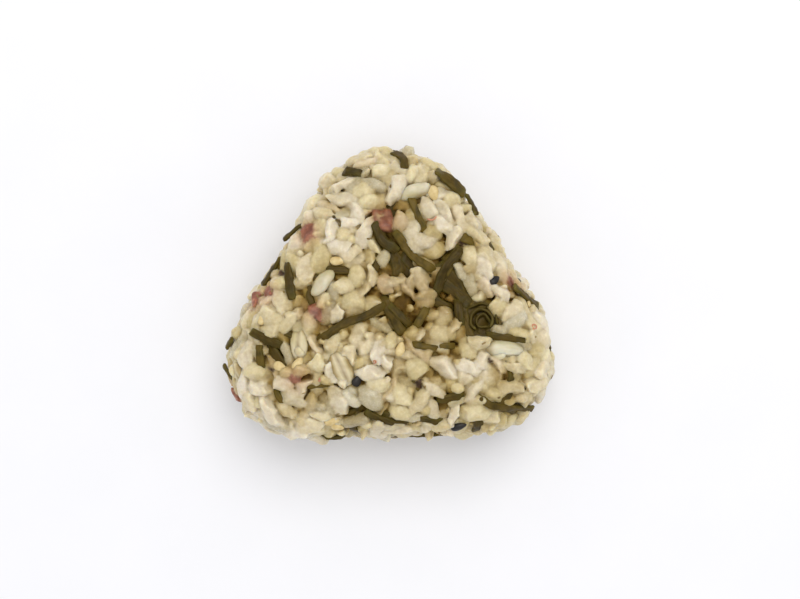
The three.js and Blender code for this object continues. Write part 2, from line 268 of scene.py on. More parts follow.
# Shorter and deeper bits of kelp that only show between the grains.
SHREDS = [
    kelp_strip(2.2, (-10.6, 33.3), (-7.9, 32.8), sink=0.5),
    kelp_strip(2.4, (-3.6, 19.5), (0.7, 12.5), (1.6, 8.1), sink=2.0),
    kelp_strip(2.6, (0.5, 11.5), (3.5, 9.5), (6, 6), sink=2.4),
    kelp_strip(3.2, (12.9, 5.9), (18.5, 1.5), sink=1.6),
    kelp_strip(2.8, (16.6, 1.2), (17.4, -2.4), (18.6, -6.6), sink=1.5),
    kelp_strip(2.6, (19.4, 2.0), (19.0, -1.5), (20.2, -6.8), sink=1.9),
    kelp_strip(3.0, (21.6, 1.6), (21.6, -2.5), (22, -7), sink=2.1),
    kelp_strip(2.4, (24.1, 0.6), (24.2, -3), (23.4, -7), sink=1.9),
    kelp_strip(
        1.5, (23, -2.2), (21.9, -1.2), (20.4, -2.2), (20.7, -3.9), (22.4, -4.1),
        sink=0.9, thickness=0.6, on_edge=True,
    ),
    kelp_strip(
        1.8, (25.3, -2.6), (24.4, 0.3), (21.8, 1.4), (19.2, 0.6),
        sink=1.2, thickness=0.6, on_edge=True,
    ),
    kelp_strip(2.8, (15.9, 13.6), (14.2, 10.8), (12.9, 8.6), sink=1.2),
    kelp_strip(2.6, (3.4, 12.4), (6.6, 8.8), (9.8, 7.6), sink=2.0),
    kelp_strip(2.8, (-0.2, 14.6), (2.4, 11.0), (2.8, 8.8), sink=2.2),
    kelp_strip(2.6, (-1.4, 1.8), (0.4, -1.4), (2.4, -5.2), sink=1.5),
    kelp_strip(2.2, (-0.4, -3.4), (3.4, -4.6), sink=1.9),
    kelp_strip(3.2, (12.8, 9.6), (15.4, 6.2), (17.4, 2.4), sink=1.3),
    kelp_strip(2.4, (9.6, 2.8), (13.6, 0.6), sink=1.7),
    kelp_strip(2.0, (12.4, -21.6), (16.0, -20.8), sink=1.2),
    kelp_strip(2.6, (14.2, 11.5), (17.4, 6.6), (17.2, 2.2), sink=2.2),
    kelp_strip(2.6, (17.5, -2), (19.5, -6.2), (24, -6.8), sink=1.9),
    kelp_strip(2.2, (19, 1.6), (24.4, 0.8), (26, -4.4), sink=1.9),
    kelp_strip(2.0, (-14.7, 9.4), (-10.6, 9.3), sink=1.3),
    kelp_strip(2.0, (-21.8, 8.9), (-17.8, 7.4), sink=1.5),
    kelp_strip(2.2, (16.3, 17.8), (19.2, 16.5), sink=1.2),
    kelp_strip(2.4, (4.8, -17.2), (7.8, -19.3), sink=1.3),
    kelp_strip(1.9, (-25.4, -5.4), (-22.9, -6.2), sink=1.0),
    kelp_strip(0.9, (-19.6, -18.5), (-15.2, -18.1), sink=0.9),
    kelp_strip(1.6, (-27, -20.5), (-24.8, -24), sink=1.0),
    kelp_strip(1.6, (-14.6, -30, 22), (-11.8, -30.6, 22), sink=0.4),
    kelp_strip(1.7, (-0.6, -31, 17), (6, -31.5, 16), (12.6, -31, 15), sink=0.4),
    kelp_strip(2.4, (-0.6, -26), (3.4, -26.8), sink=1.0),
    kelp_strip(2.2, (-28.2, -9.8), (-25.6, -13.4), sink=1.4),
]
# More of them, at random round the ball, and fewer towards its two faces.
HIDDEN = {
    "count": 46, "spread": (1, 1, 0.7), "reach": (2.0, 4.5), "bow": (-1.2, 1.2), "width": (1.5, 2.4),
    "sink": (1.2, 3.0),
}


def hidden_shreds():
    shreds = []
    for ray in unit(RANDOM.normal(size=(HIDDEN["count"], 3)) * HIDDEN["spread"]):
        middle = on_surface(MIDDLE + FAR_OUT * ray)
        _, facing = depth_and_facing(middle)
        heading = unit(np.cross(facing, RANDOM.normal(size=3)))
        reach = RANDOM.uniform(*HIDDEN["reach"])
        bow = unit(np.cross(facing, heading)) * RANDOM.uniform(*HIDDEN["bow"])
        route = [middle - reach * heading, middle + bow, middle + reach * heading]
        width = RANDOM.uniform(*HIDDEN["width"])
        shreds.append(kelp_strip(width, *route, sink=RANDOM.uniform(*HIDDEN["sink"])))
    return shreds


# Where the kelp lies open to view, as x, y and a radius. No loose grain comes nearer to the outer
# surface there than OPEN_DEPTH.
OPEN_DEPTH = 2.6
OPEN_KELP = (
    (20.8, -2.8, 4.2), (15.2, 4.4, 2.4), (-1.6, 16.6, 1.6), (1.4, 12.8, 2.6), (4.6, 9.8, 2.2),
    (8.8, 8.4, 1.6), (14.6, 7.8, 1.5), (0.0, -0.4, 1.4), (2.2, -3.8, 1.3), (11.8, 1.6, 1.2),
)


def over_open_kelp(places):
    """Which places lie over the kelp that lies open."""
    covered = np.zeros(len(places), bool)
    for x, y, radius in OPEN_KELP:
        near = np.hypot(places[:, 0] - x, places[:, 1] - y) < radius
        covered |= near & (places[:, 2] > MID_HEIGHT)
    return covered


CURVE_STEPS = 24  # points from one place of a route to the next, before they are spaced evenly


def smooth_path(places, count):
    """Points spaced evenly along a Catmull-Rom curve through some places."""
    places = np.asarray(places, float)
    ends = np.vstack([2 * places[0] - places[1], places, 2 * places[-1] - places[-2]])
    t = np.linspace(0, 1, CURVE_STEPS)[:, None]
    runs = []
    for a, b, c, d in zip(ends, ends[1:], ends[2:], ends[3:]):
        square, cube = 2 * a - 5 * b + 4 * c - d, 3 * b - a - 3 * c + d
        runs.append(0.5 * (2 * b + (c - a) * t + square * t**2 + cube * t**3))
    fine = np.vstack(runs)
    along = np.concatenate([[0], np.cumsum(np.linalg.norm(np.diff(fine, axis=0), axis=1))])
    even = np.linspace(0, along[-1], count)
    return np.stack([np.interp(even, along, fine[:, k]) for k in range(3)], -1)


def strip_path(strip, count):
    """The middle of a strip, a little under the outer surface."""
    places = np.array([place_over(spot) for spot in strip["route"]])
    _, facing = depth_and_facing(places)
    proud = np.linspace(*strip["lift"], len(places)) - strip["sink"]
    return smooth_path(places + facing * proud[:, None], count)


def path_length(path):
    return np.linalg.norm(np.diff(path, axis=0), axis=1).sum()


def directions(path):
    """The way that a path goes on at its points, and the way that the outer surface faces there."""
    return unit(np.gradient(path, axis=0)), depth_and_facing(path)[1]


# The shape of a ribbon. A wave is how much it changes, and its rate for each millimetre.
KELP_SECTION = 14  # points round a strip's section
KELP_STEP = 0.4  # between the sections along a strip
FEWEST_SECTIONS = 8
KELP_CORNER = 0.55  # lower makes the section squarer
KELP_ROLLS = ((0.28, 0.45), (0.12, 1.3))
KELP_WIDTHS = ((0.08, 0.9), (0.05, 2.3))
KELP_RIPPLE = {"size": 0.1, "rate": 3.1, "across": 2.5}
KELP_END = {"on": 1.6, "down": 1.1, "rounding": 0.45, "least": 0.03, "narrower": 0.25, "pale": 1.2}
ON_EDGE_TONE = 0.2  # the share of the tones that a strip on its edge has, from the darkest


def waving(start, along, waves, phases):
    for (size, rate), phase in zip(waves, phases):
        start = start + size * np.sin(along * rate + phase)
    return start


def kelp_mesh(path, width, thickness, on_edge=False, dives=(True, True)):
    """Vertices, faces and attributes of a limp ribbon along a path: its edges are rounded, its
    width varies and it rolls from side to side. An end that dives goes on under the grains."""
    ahead, up = directions(path)
    for end, sign, dive in zip((0, -1), (-1, 1), dives):
        if dive:
            tail = path[end] + sign * ahead[end] * KELP_END["on"] - up[end] * KELP_END["down"]
            path = np.vstack([tail, path] if end == 0 else [path, tail])
            ahead, up = directions(path)
    length = path_length(path)
    count = max(FEWEST_SECTIONS, int(length / KELP_STEP))
    path = smooth_path(path, count)
    ahead, up = directions(path)
    side = unit(np.cross(up, ahead))
    through = np.cross(ahead, side)
    t = np.linspace(0, 1, count)
    along = t * length
    phase = RANDOM.uniform(0, 2 * math.pi, 4)
    roll = waving(0, along, KELP_ROLLS, phase[:2]) + (math.pi / 2 if on_edge else 0)
    across = side * np.cos(roll)[:, None] + through * np.sin(roll)[:, None]
    proud = through * np.cos(roll)[:, None] - side * np.sin(roll)[:, None]
    wide = 0.5 * width * waving(1, along, KELP_WIDTHS, phase[2:])
    from_end = np.minimum(t, 1 - t) * length / KELP_END["rounding"]
    blunt = np.minimum(1, np.sqrt(np.clip(from_end, KELP_END["least"], 1)))
    angle = np.linspace(0, 2 * math.pi, KELP_SECTION, endpoint=False)
    flat, thick = [np.sign(part) * np.abs(part) ** KELP_CORNER for part in (np.cos(angle), np.sin(angle))]
    swing = along[:, None] * KELP_RIPPLE["rate"] + KELP_RIPPLE["across"] * flat[None, :] + phase[0]
    ripple = KELP_RIPPLE["size"] * thickness * np.sin(swing)
    y = flat[None, :] * (wide * (1 - KELP_END["narrower"] + KELP_END["narrower"] * blunt))[:, None]
    z = 0.5 * thickness * thick[None, :] * blunt[:, None] + ripple * 0.5
    rings = path[:, None] + across[:, None] * y[..., None] + proud[:, None] * z[..., None]
    vertices = rings.reshape(-1, 3)
    vertices[:, 2] = np.maximum(vertices[:, 2], 0)
    faces = [(a, d, c, b) for a, b, c, d in ring_faces(count, KELP_SECTION)]
    faces.append(tuple(reversed(range(KELP_SECTION))))
    faces.append(tuple((count - 1) * KELP_SECTION + j for j in range(KELP_SECTION)))
    values = (np.abs(flat) ** 4, along[:, None], flat * 0.5 * width, thick * 0.5 * thickness)
    edge, lengthwise, crosswise, height = [np.broadcast_to(v, y.shape).ravel() for v in values]
    offset = RANDOM.uniform(0, 50)
    spot = np.stack([lengthwise + offset, crosswise + offset, height], -1)
    tone = np.full(len(vertices), RANDOM.uniform() * (ON_EDGE_TONE if on_edge else 1.0))
    tip = np.exp(-np.minimum(lengthwise, length - lengthwise) / KELP_END["pale"])
    return vertices, faces, {"edge": edge, "spot": spot, "tone": tone, "tip": tip}


# ---------------------------------------------------------------- kinds of grain

# Half length, width and height, the share of the heap, and what the shape is like.
KINDS = {
    "rice_white": {"half": (3.9, 2.0, 1.6), "share": 0.34, "shape": "rice"},
    "rice_cream": {"half": (3.7, 1.95, 1.6), "share": 0.3, "shape": "rice"},
    "rice_pink": {"half": (4.1, 1.75, 1.5), "share": 0.04, "shape": "rice"},
    "rice_clear": {"half": (3.6, 1.95, 1.6), "share": 0.07, "shape": "clear"},
    "barley": {"half": (3.2, 2.35, 1.95), "share": 0.24, "shape": "barley"},
    "rice_wet": {"half": (3.9, 1.9, 1.6), "share": 0.0, "shape": "plain"},
    "barley_creased": {"half": (3.3, 2.1, 1.7), "share": 0.015, "shape": "creased"},
    "sesame_white": {"half": (1.5, 0.9, 0.6), "share": 0.02, "shape": "seed"},
    "sesame_black": {"half": (1.5, 0.9, 0.65), "share": 0.003, "shape": "seed"},
    "pickle": {"half": (2.7, 2.2, 0.9), "share": 0.006, "shape": "flake"},
    "dark_bit": {"half": (1.5, 1.2, 0.6), "share": 0.004, "shape": "flake"},
}
KIND_NAMES = list(KINDS)

# The grains that stand out on the upper face: x, y, the way they point in degrees, and size.
LANDMARKS = {
    "rice_white": [
        (1.4, 28.0, 58, 1.15), (-11.8, 30.1, 15, 1.0), (-12.2, 26.7, -5, 1.1), (-8.8, 22.7, -60, 1.0),
        (-10.7, 20.5, 10, 1.05), (-15.1, 18.5, 65, 1.0), (-24.1, 16.0, -60, 0.85),
        (-12.0, 15.5, 5, 0.95), (-6.2, 17.9, 60, 1.0), (4.7, 17.9, 60, 1.0), (7.4, 16.3, -15, 0.95),
        (5.5, 14.3, -45, 0.9), (8.8, 24.3, -62, 1.05), (12.9, 24.0, -70, 1.0), (20.6, 21.5, -50, 0.85),
        (12.7, 19.6, -40, 0.8), (14.8, 16.6, 60, 0.85), (22.8, 10.1, -55, 0.9), (12.8, -14.1, -28, 1.2),
        (18.9, -14.3, -25, 1.05), (21.6, -12.0, 45, 0.95), (-26.0, -17.4, -5, 1.0),
        (-35.7, -18.4, 60, 1.1), (-31.6, -18.9, -20, 0.95), (-20.7, -18.7, 70, 0.95),
        (-23.2, -21.3, -20, 1.05), (-12.1, -22.6, -60, 1.1), (-0.9, -11.9, -28, 1.0),
        (-2.4, -9.3, 80, 0.85), (-5.2, -15.2, 10, 0.95), (11.0, -20.1, -38, 0.95),
        (10.2, -24.3, -60, 0.8), (19.7, -19.5, 50, 0.85), (15.1, -25.2, 60, 0.75),
        (-28.9, -24.3, -60, 1.05), (-12.8, -0.3, 60, 0.9), (-34.6, -10.3, 80, 0.95),
    ],
    "rice_cream": [
        (16.8, 22.1, -70, 1.05), (20.9, 18.5, -35, 1.05), (-21.7, 6.5, -5, 0.95),
        (-26.4, 2.1, -72, 1.1), (-4.0, 15.2, -50, 0.75), (-4.3, 8.2, 80, 0.9), (1.6, 6.9, 10, 0.8),
        (7.1, 7.4, -70, 1.0), (8.2, 3.8, -20, 0.95), (24.1, 12.5, -70, 1.1), (27.4, 10.3, -75, 1.15),
        (28.7, -0.2, 40, 0.9), (29.8, -14.1, -15, 0.95), (36.6, -14.3, 40, 0.9),
        (-28.8, -4.7, 20, 0.95), (-24.1, -3.2, 60, 0.9), (-32.6, -3.6, 80, 0.9),
        (-13.4, -7.9, 60, 0.85), (-24.7, -24.1, -45, 0.8), (-16.3, -25.6, -20, 0.9),
        (-19.2, -28.1, 0, 1.0), (6.8, -22.0, 55, 0.9), (12.3, -28.3, 0, 1.0), (28.8, -18.8, -10, 1.1),
        (35.5, -18.4, -5, 1.05), (24.5, -26.3, -10, 1.0), (-7.4, -6.2, 75, 1.0), (-6.0, -8.2, 30, 0.9),
    ],
    "rice_pink": [
        (2.1, 19.9, 75, 0.9), (-1.2, 5.4, -65, 1.05), (3.9, 5.6, -50, 0.95), (6.6, -9.8, -40, 1.15),
        (-6.7, 35.9, 20, 0.9), (-17.7, -8.8, -60, 0.85), (-30.0, 2.6, 20, 0.85), (22.2, 5.8, -65, 0.9),
        (25.7, -14.0, -60, 0.8),
    ],
    "rice_clear": [
        (-4.3, 29.7, -30, 0.92), (-13.9, 4.9, -70, 0.8), (-1.8, 12.3, 70, 0.7), (16.4, 8.8, -60, 0.7),
        (19.0, 6.2, -75, 0.85), (25.6, -4.6, -20, 0.75), (-24.6, -10.8, -75, 0.8),
        (-2.4, -3.4, -25, 0.95), (-5.2, -21.6, -42, 1.15), (-8.7, -27.7, 20, 1.0), (5.9, -26.2, 0, 0.8),
        (15.6, -22.4, 20, 0.75), (-38.4, -9.6, 20, 0.7),
    ],
    "rice_wet": [
        (27.1, -9.3, -5, 1.1), (6.0, 28.1, 22, 0.95), (-16.2, 6.2, 45, 0.88),
    ],
    "barley": [
        (-5.4, 25.7, 8, 0.98), (-2.4, 33.2, 0, 0.85), (-23.1, 10.6, -40, 1.0), (-16.7, 11.8, 75, 1.15),
        (-15.9, 1.8, 60, 0.8), (-7.9, 7.9, 88, 0.98), (19.0, 12.3, -80, 1.0), (12.7, -2.3, 60, 1.1),
        (11.7, -5.5, 0, 0.95), (18.4, -9.1, -70, 0.95), (25.2, 0.9, -60, 1.0), (32.1, -12.2, -30, 0.85),
        (39.1, -11.4, 0, 0.85), (-32.7, -14.8, 5, 0.85), (-17.9, -12.7, -50, 0.9), (0.0, -7.2, 70, 0.7),
        (6.2, -13.9, -60, 0.95), (-2.9, -17.7, -15, 1.0), (-8.8, 2.0, 0, 0.85), (2.6, -21.4, -80, 1.1),
        (20.1, -24.9, 0, 1.12), (16.1, -19.3, 0, 0.65), (9.8, 35.0, -40, 0.9), (5.2, 32.4, 70, 0.9),
    ],
    "barley_creased": [
        (-21.8, -8.2, 92, 0.98), (-11.6, -14.1, -65, 1.14), (-37.0, -15.0, -50, 0.7),
    ],
    "sesame_white": [
        (-30.9, -2.2, 80, 1.1), (-22.0, -12.9, 60, 1.15), (-26.3, -13.5, -15, 1.1),
        (2.3, -9.4, 75, 1.15), (-14.0, -27.0, 10, 1.1), (-12.7, -28.5, -20, 1.0),
        (10.3, 27.7, -75, 1.3), (-12.5, 11.5, 0, 1.2),
    ],
    "sesame_black": [
        (-7.9, -16.9, 60, 1.05), (24.7, 6.9, 38, 1.1), (16.2, -28.5, 30, 1.15),
    ],
    "pickle": [
        (-20.3, 18.4, 20, 1.0), (-18.1, -0.7, -75, 0.95), (-2.0, 21.3, 10, 1.1), (-22.3, -16.2, 0, 0.7),
        (29.6, 6.9, -70, 0.8), (-30.1, 4.7, 40, 0.7),
    ],
    "dark_bit": [
        (18.2, 17.0, -40, 1.5), (6.4, -18.1, 10, 1.15), (-28.0, -14.6, 0, 0.6), (24.0, -12.6, 0, 0.8),
    ],
}
# How much the landmark grains of each kind stand proud of the outer surface.
LANDMARK_PROUD = {
    "rice_wet": 0.5, "barley_creased": 0.5, "pickle": 0.1, "dark_bit": -0.3, "rice_clear": -0.1,
    "sesame_white": 0.1, "rice_pink": -0.1,
}
USUALLY_PROUD = 0.25

# ---------------------------------------------------------------- packing the grains

HEAP_DEPTH = 4.4  # how far the loose grains go down from the outer surface
LOOSE = {
    "count": 1380, "box": ((-42, -34, 0.8), (42, 40, 31)), "tries": 4000, "least_depth": 1.2,
    "flatness": 0.65, "sizes": (0.82, 1.08), "proud": (-1.0, 1.1), "less_on_top": 0.8,
    "small": 2.8, "small_deepest": 1.6, "top": 0.6,
}
# Broken bits of grain, in the gaps between the whole ones.
CRUMBS = {"count": 1000, "spread": (1, 1, 0.8), "depths": (1.0, 3.0), "sizes": (0.34, 0.62)}
# How the grains are pushed apart. They press into each other down to a share of their girth.
RELAX = {
    "steps": 130, "search_every": 5, "search": 1.2, "pressed": 0.7, "crowd": 0.55, "lift": 0.5,
    "off_table": 0.8, "move": 0.8, "home": 0.5, "home_turn": 0.6,
}
THROUGH = 9  # a depth that no grain gets to


def near_pairs(beads, radius, owner, margin):
    """Pairs of beads of different owners that are within margin of touching."""
    square = (beads**2).sum(1)
    apart = square[:, None] + square[None, :] - 2 * beads @ beads.T
    reach = radius[:, None] + radius[None, :] + margin
    first, second = np.nonzero(np.triu(apart < reach**2, 1))
    other = owner[first] != owner[second]
    return first[other], second[other]


def spread(values, places, count):
    """Sums rows of values into the given places."""
    return np.stack([np.bincount(places, values[:, k], count) for k in range(3)], -1)


def relax(heap, fixed_beads, fixed_radius):
    """Pushes grains off each other, off the fixed beads and into the ball's outer form. A grain
    is three beads on a spine. One that has a home is also drawn back to it."""
    count = len(heap["centre"])
    share = np.array([-1.0, 0.0, 1.0])[None, :, None]
    owner = np.concatenate([np.repeat(np.arange(count), 3), np.full(len(fixed_beads), -1)])
    radius = np.concatenate([np.repeat(heap["radius"], 3), fixed_radius])
    moving = owner >= 0
    homed = np.isfinite(heap["home"][:, 0])
    for step in range(RELAX["steps"]):
        half_spine = (heap["axis"] * heap["reach"][:, None])[:, None]
        spine = (heap["centre"][:, None] + share * half_spine).reshape(-1, 3)
        beads = np.vstack([spine, fixed_beads])
        if step % RELAX["search_every"] == 0:
            coarse = beads.astype(np.float32), radius.astype(np.float32)
            first, second = near_pairs(*coarse, owner, RELAX["search"])
        between = beads[first] - beads[second]
        distance = np.maximum(np.linalg.norm(between, axis=1), 1e-6)
        overlap = RELAX["pressed"] * (radius[first] + radius[second]) - distance
        touching = overlap > 0
        one, two = first[touching], second[touching]
        push = between[touching] / distance[touching, None] * overlap[touching, None]
        both = (moving[one] & moving[two])[:, None]
        weight = np.where(both, 0.5, 1.0)
        shift = spread(push * weight * moving[one][:, None], one, len(beads))
        shift -= spread(push * weight * moving[two][:, None], two, len(beads))
        hits = np.bincount(one, minlength=len(beads)) + np.bincount(two, minlength=len(beads))
        shift /= np.maximum(1, RELAX["crowd"] * hits)[:, None]
        shift = shift[: 3 * count]
        depth, facing = depth_and_facing(spine)
        bead_radius = radius[: 3 * count]
        outside = np.maximum(0, bead_radius - np.repeat(heap["proud"], 3) - depth)
        deep = np.maximum(0, depth - np.repeat(heap["deepest"], 3))
        shift -= facing * outside[:, None]
        shift += facing * np.minimum(deep, 1.0)[:, None] * RELAX["lift"]
        shift[:, 2] += np.maximum(0, RELAX["off_table"] * bead_radius - spine[:, 2])
        shift = shift.reshape(count, 3, 3)
        heap["centre"] += RELAX["move"] * shift.mean(1)
        turn = (shift[:, 2] - shift[:, 0]) / (2 * heap["reach"][:, None] + 1.0)
        heap["axis"] = unit(heap["axis"] + RELAX["move"] * turn)
        pull = heap["home"][homed] - heap["centre"][homed]
        heap["centre"][homed] += RELAX["home"] * pull
        heap["axis"][homed] = unit(heap["axis"][homed] + RELAX["home_turn"] * heap["home_axis"][homed])
    return heap


def empty_heap():
    heap = {key: np.zeros((0, 3)) for key in ("centre", "axis", "home", "home_axis")}
    heap.update({key: np.zeros(0) for key in ("reach", "radius", "proud", "deepest", "size")})
    heap["kind"] = np.zeros(0, int)
    return heap


def add_grains(heap, kinds, centres, axes, sizes, proud, deepest, homed):
    """Adds grains of some kinds at some centres to a heap."""
    half = np.array([KINDS[KIND_NAMES[k]]["half"] for k in kinds]) * sizes[:, None]
    radius = 0.5 * (half[:, 1] + half[:, 2])
    nowhere = np.full_like(centres, np.nan)
    more = {
        "centre": centres,
        "axis": unit(axes),
        "home": centres.copy() if homed else nowhere,
        "home_axis": unit(axes) if homed else nowhere,
        "reach": np.maximum(half[:, 0] - radius, 0.05),
        "radius": radius,
        "proud": proud,
        "deepest": deepest,
        "size": sizes,
        "kind": kinds,
    }
    return {key: np.concatenate([heap[key], more[key]]) for key in heap}


def landmark_grains(heap):
    """The grains that stand out on the upper face, lying in it at their own places."""
    for name, entries in LANDMARKS.items():
        spots = np.array(entries)
        proud = LANDMARK_PROUD.get(name, USUALLY_PROUD)
        outer = np.array([place_over(spot) for spot in spots[:, :2]])
        _, facing = depth_and_facing(outer)
        turn = np.radians(spots[:, 2])
        axes = np.stack([np.cos(turn), np.sin(turn), 0 * turn], -1)
        axes -= (axes * facing).sum(1)[:, None] * facing
        half = KINDS[name]["half"]
        sink = 0.5 * (half[1] + half[2]) * spots[:, 3] - proud
        kinds = np.full(len(spots), KIND_NAMES.index(name))
        prouds = np.full(len(spots), proud)
        centres = outer - facing * sink[:, None]
        heap = add_grains(heap, kinds, centres, axes, spots[:, 3], prouds, prouds + THROUGH, homed=True)
    return heap


def loose_grains(heap):
    """Grains at random all through the outer layers. Seeds and flakes are kept to the walls and the
    resting face, near the surface, because those of the upper face are all landmarks."""
    count = LOOSE["count"]
    places = np.zeros((0, 3))
    while len(places) < count:
        tries = RANDOM.uniform(*LOOSE["box"], (LOOSE["tries"], 3))
        depth, _ = depth_and_facing(tries)
        in_layers = (form(tries) < 1) & (depth > LOOSE["least_depth"]) & (depth < HEAP_DEPTH)
        keep = in_layers & ~(over_open_kelp(tries) & (depth < OPEN_DEPTH + 1))
        places = np.vstack([places, tries[keep]])
    places = places[:count]
    shares = np.array([KINDS[name]["share"] for name in KIND_NAMES])
    kinds = RANDOM.choice(len(KIND_NAMES), count, p=shares / shares.sum())
    _, facing = depth_and_facing(places)
    axes = unit(RANDOM.normal(size=(count, 3)))
    axes -= LOOSE["flatness"] * (axes * facing).sum(1)[:, None] * facing
    sizes = RANDOM.uniform(*LOOSE["sizes"], count)
    proud = RANDOM.uniform(*LOOSE["proud"], count) - LOOSE["less_on_top"] * np.clip(facing[:, 2], 0, 1)
    proud = np.where(over_open_kelp(places), -OPEN_DEPTH, proud)
    small = np.array([KINDS[KIND_NAMES[k]]["half"][0] < LOOSE["small"] for k in kinds])
    small_on_top = (facing[:, 2] > LOOSE["top"]) & small
    kinds = np.where(small_on_top, KIND_NAMES.index("rice_white"), kinds)
    deepest = np.where(small & ~small_on_top, LOOSE["small_deepest"], HEAP_DEPTH)
    return add_grains(heap, kinds, places, axes, sizes, proud, deepest, homed=False)


def crumbs(heap, kelp_beads):
    """Small broken bits that lie in the gaps between the grains, clear of the kelp."""
    rays = unit(RANDOM.normal(size=(CRUMBS["count"], 3)) * CRUMBS["spread"])
    outer = on_surface(MIDDLE + FAR_OUT * rays)
    outer = outer[~over_open_kelp(outer)]
    _, facing = depth_and_facing(outer)
    centres = outer - facing * RANDOM.uniform(*CRUMBS["depths"], len(outer))[:, None]
    centres = centres[stain(centres, kelp_beads, 1.7, 1.8) == 0]
    count = len(centres)
    choices = [KIND_NAMES.index(name) for name in ("rice_white", "rice_cream", "barley")]
    kinds = RANDOM.choice(choices, count)
    axes = RANDOM.normal(size=(count, 3))
    sizes = RANDOM.uniform(*CRUMBS["sizes"], count)
    nothing = np.zeros(count)
    return add_grains(heap, kinds, centres, axes, sizes, nothing, nothing, homed=False)


# ---------------------------------------------------------------- grain meshes

SECTORS = 16
RINGS = 11
TOUCHING = {"grains_within": 9.0, "kelp_within": 5.0, "kelp_radius": 0.5, "fades": 0.8}
FACET = {"tilt": (-0.55, 0.55), "reach": (0.68, 0.94), "flattened": 0.8}
FLOOR_ROUNDING = 0.5
AT_A_TIME = 20000  # points that are compared with all beads at once


def superellipse(values, exponent):
    return np.clip(1 - np.abs(values) ** exponent, 0, 1) ** (1 / exponent)


def shaped(shape, u, angle, chance):
    """Girth of a grain of a shape along its length u and round its angle, as a share of its
    half width, with a crease factor. chance holds each grain's own random numbers."""
    own = [chance[:, k, None, None] for k in range(chance.shape[1])]
    crease = np.zeros((len(chance), u.shape[1], angle.shape[2]))
    if shape == "plain":
        girth = superellipse(u, 2.1) * (1 + (0.2 * own[1] - 0.1) * u)
    elif shape == "creased":
        girth = superellipse(u, 2.15) * (1 + 0.16 * (own[0] - 0.5) * u)
        turn = (own[1] - 0.5) * 0.5 + math.pi / 2
        away = np.angle(np.exp(1j * (angle - turn)))
        wander = away + 0.12 * np.sin(3 * u + 6 * own[2])
        crease = np.exp(-((wander / 0.16) ** 2)) * superellipse(u, 3)
        groove = np.exp(-((wander / 0.5) ** 2)) * superellipse(u, 2)
        girth = girth * (1 - 0.13 * groove - 0.12 * crease)
    else:
        girth = superellipse(u, 2.0) * (1 - 0.32 * u)
    return np.broadcast_to(girth, crease.shape), crease


def squash_sides(local, half, facets):
    """Flattens grains where others were pressed against them, by planes at random."""
    for _ in range(facets):
        turn = RANDOM.uniform(0, 2 * math.pi, len(local))
        tilt = RANDOM.uniform(*FACET["tilt"], len(local))
        normal = np.stack([np.sin(tilt), np.cos(tilt) * np.cos(turn), np.cos(tilt) * np.sin(turn)], -1)
        reach = np.linalg.norm(normal * half, axis=1) * RANDOM.uniform(*FACET["reach"], len(local))
        over = np.maximum(0, np.einsum("nvk,nk->nv", local, normal) - reach[:, None])
        local = local - FACET["flattened"] * over[..., None] * normal[:, None]
    return local


def lumpy(local, amount):
    """Makes every grain's surface uneven in its own way."""
    height = np.zeros(local.shape[:2])
    for rate in (1.0, 1.6, 2.3, 3.2):
        wave = unit(RANDOM.normal(size=(len(local), 3))) * rate
        phase = RANDOM.uniform(0, 2 * math.pi, (len(local), 1))
        height += np.sin(np.einsum("nvk,nk->nv", local, wave) + phase) / rate
    outwards = unit(local * [0.3, 1, 1])
    return local + amount * height[..., None] * outwards


SHAPE_RULES = {
    "plain": {"bend": 0.12, "facets": 1, "lumps": 0.05, "tilt": 0.2, "square": 2.1},
    "creased": {"bend": 0.05, "facets": 0, "lumps": 0.04, "tilt": 0.15, "square": 2.2},
    "seed": {"bend": 0.05, "facets": 0, "lumps": 0.02, "tilt": 0.2, "square": 2.2},
}


def grain_bodies(name, sizes):
    """The vertices of grains of one kind about their own middles, with their creases."""
    kind = KINDS[name]
    rule = SHAPE_RULES[kind["shape"]]
    count = len(sizes)
    u = np.cos(np.pi * np.arange(1, RINGS + 1) / (RINGS + 1))[None, :, None]
    angle = (2 * np.pi * np.arange(SECTORS) / SECTORS)[None, None, :]
    chance = RANDOM.uniform(size=(count, 6))
    girth, crease = shaped(kind["shape"], u, angle, chance)
    half = np.array(kind["half"])[None, :] * sizes[:, None]
    half = half * (1 + 0.07 * RANDOM.normal(size=(count, 3)).clip(-1.6, 1.6)) * 1.05
    square = rule["square"]
    corner = (np.abs(np.cos(angle)) ** square + np.abs(np.sin(angle)) ** square) ** (-1 / square)
    along = np.broadcast_to(u, girth.shape)
    arch = 1 - along**2
    sideways = rule["bend"] * (2 * chance[:, 4, None, None] - 1) * arch
    upwards = 0.6 * rule["bend"] * (2 * chance[:, 5, None, None] - 1) * arch
    x = along * half[:, 0, None, None]
    y = (girth * corner * np.cos(angle) + sideways) * half[:, 1, None, None]
    z = (girth * corner * np.sin(angle) + upwards) * half[:, 2, None, None]
    body = np.stack([x, y, z], -1).reshape(count, -1, 3)
    tips = np.zeros((count, 2, 3))
    tips[:, 0, 0] = half[:, 0]
    tips[:, 1, 0] = -half[:, 0]
    local = np.concatenate([body, tips], 1)
    shares = local[..., 0] / half[:, 0, None]
    local = lumpy(squash_sides(local, half, rule["facets"]), rule["lumps"])
    creases = np.concatenate([crease.reshape(count, -1), np.zeros((count, 2))], 1)
    return local, shares, creases


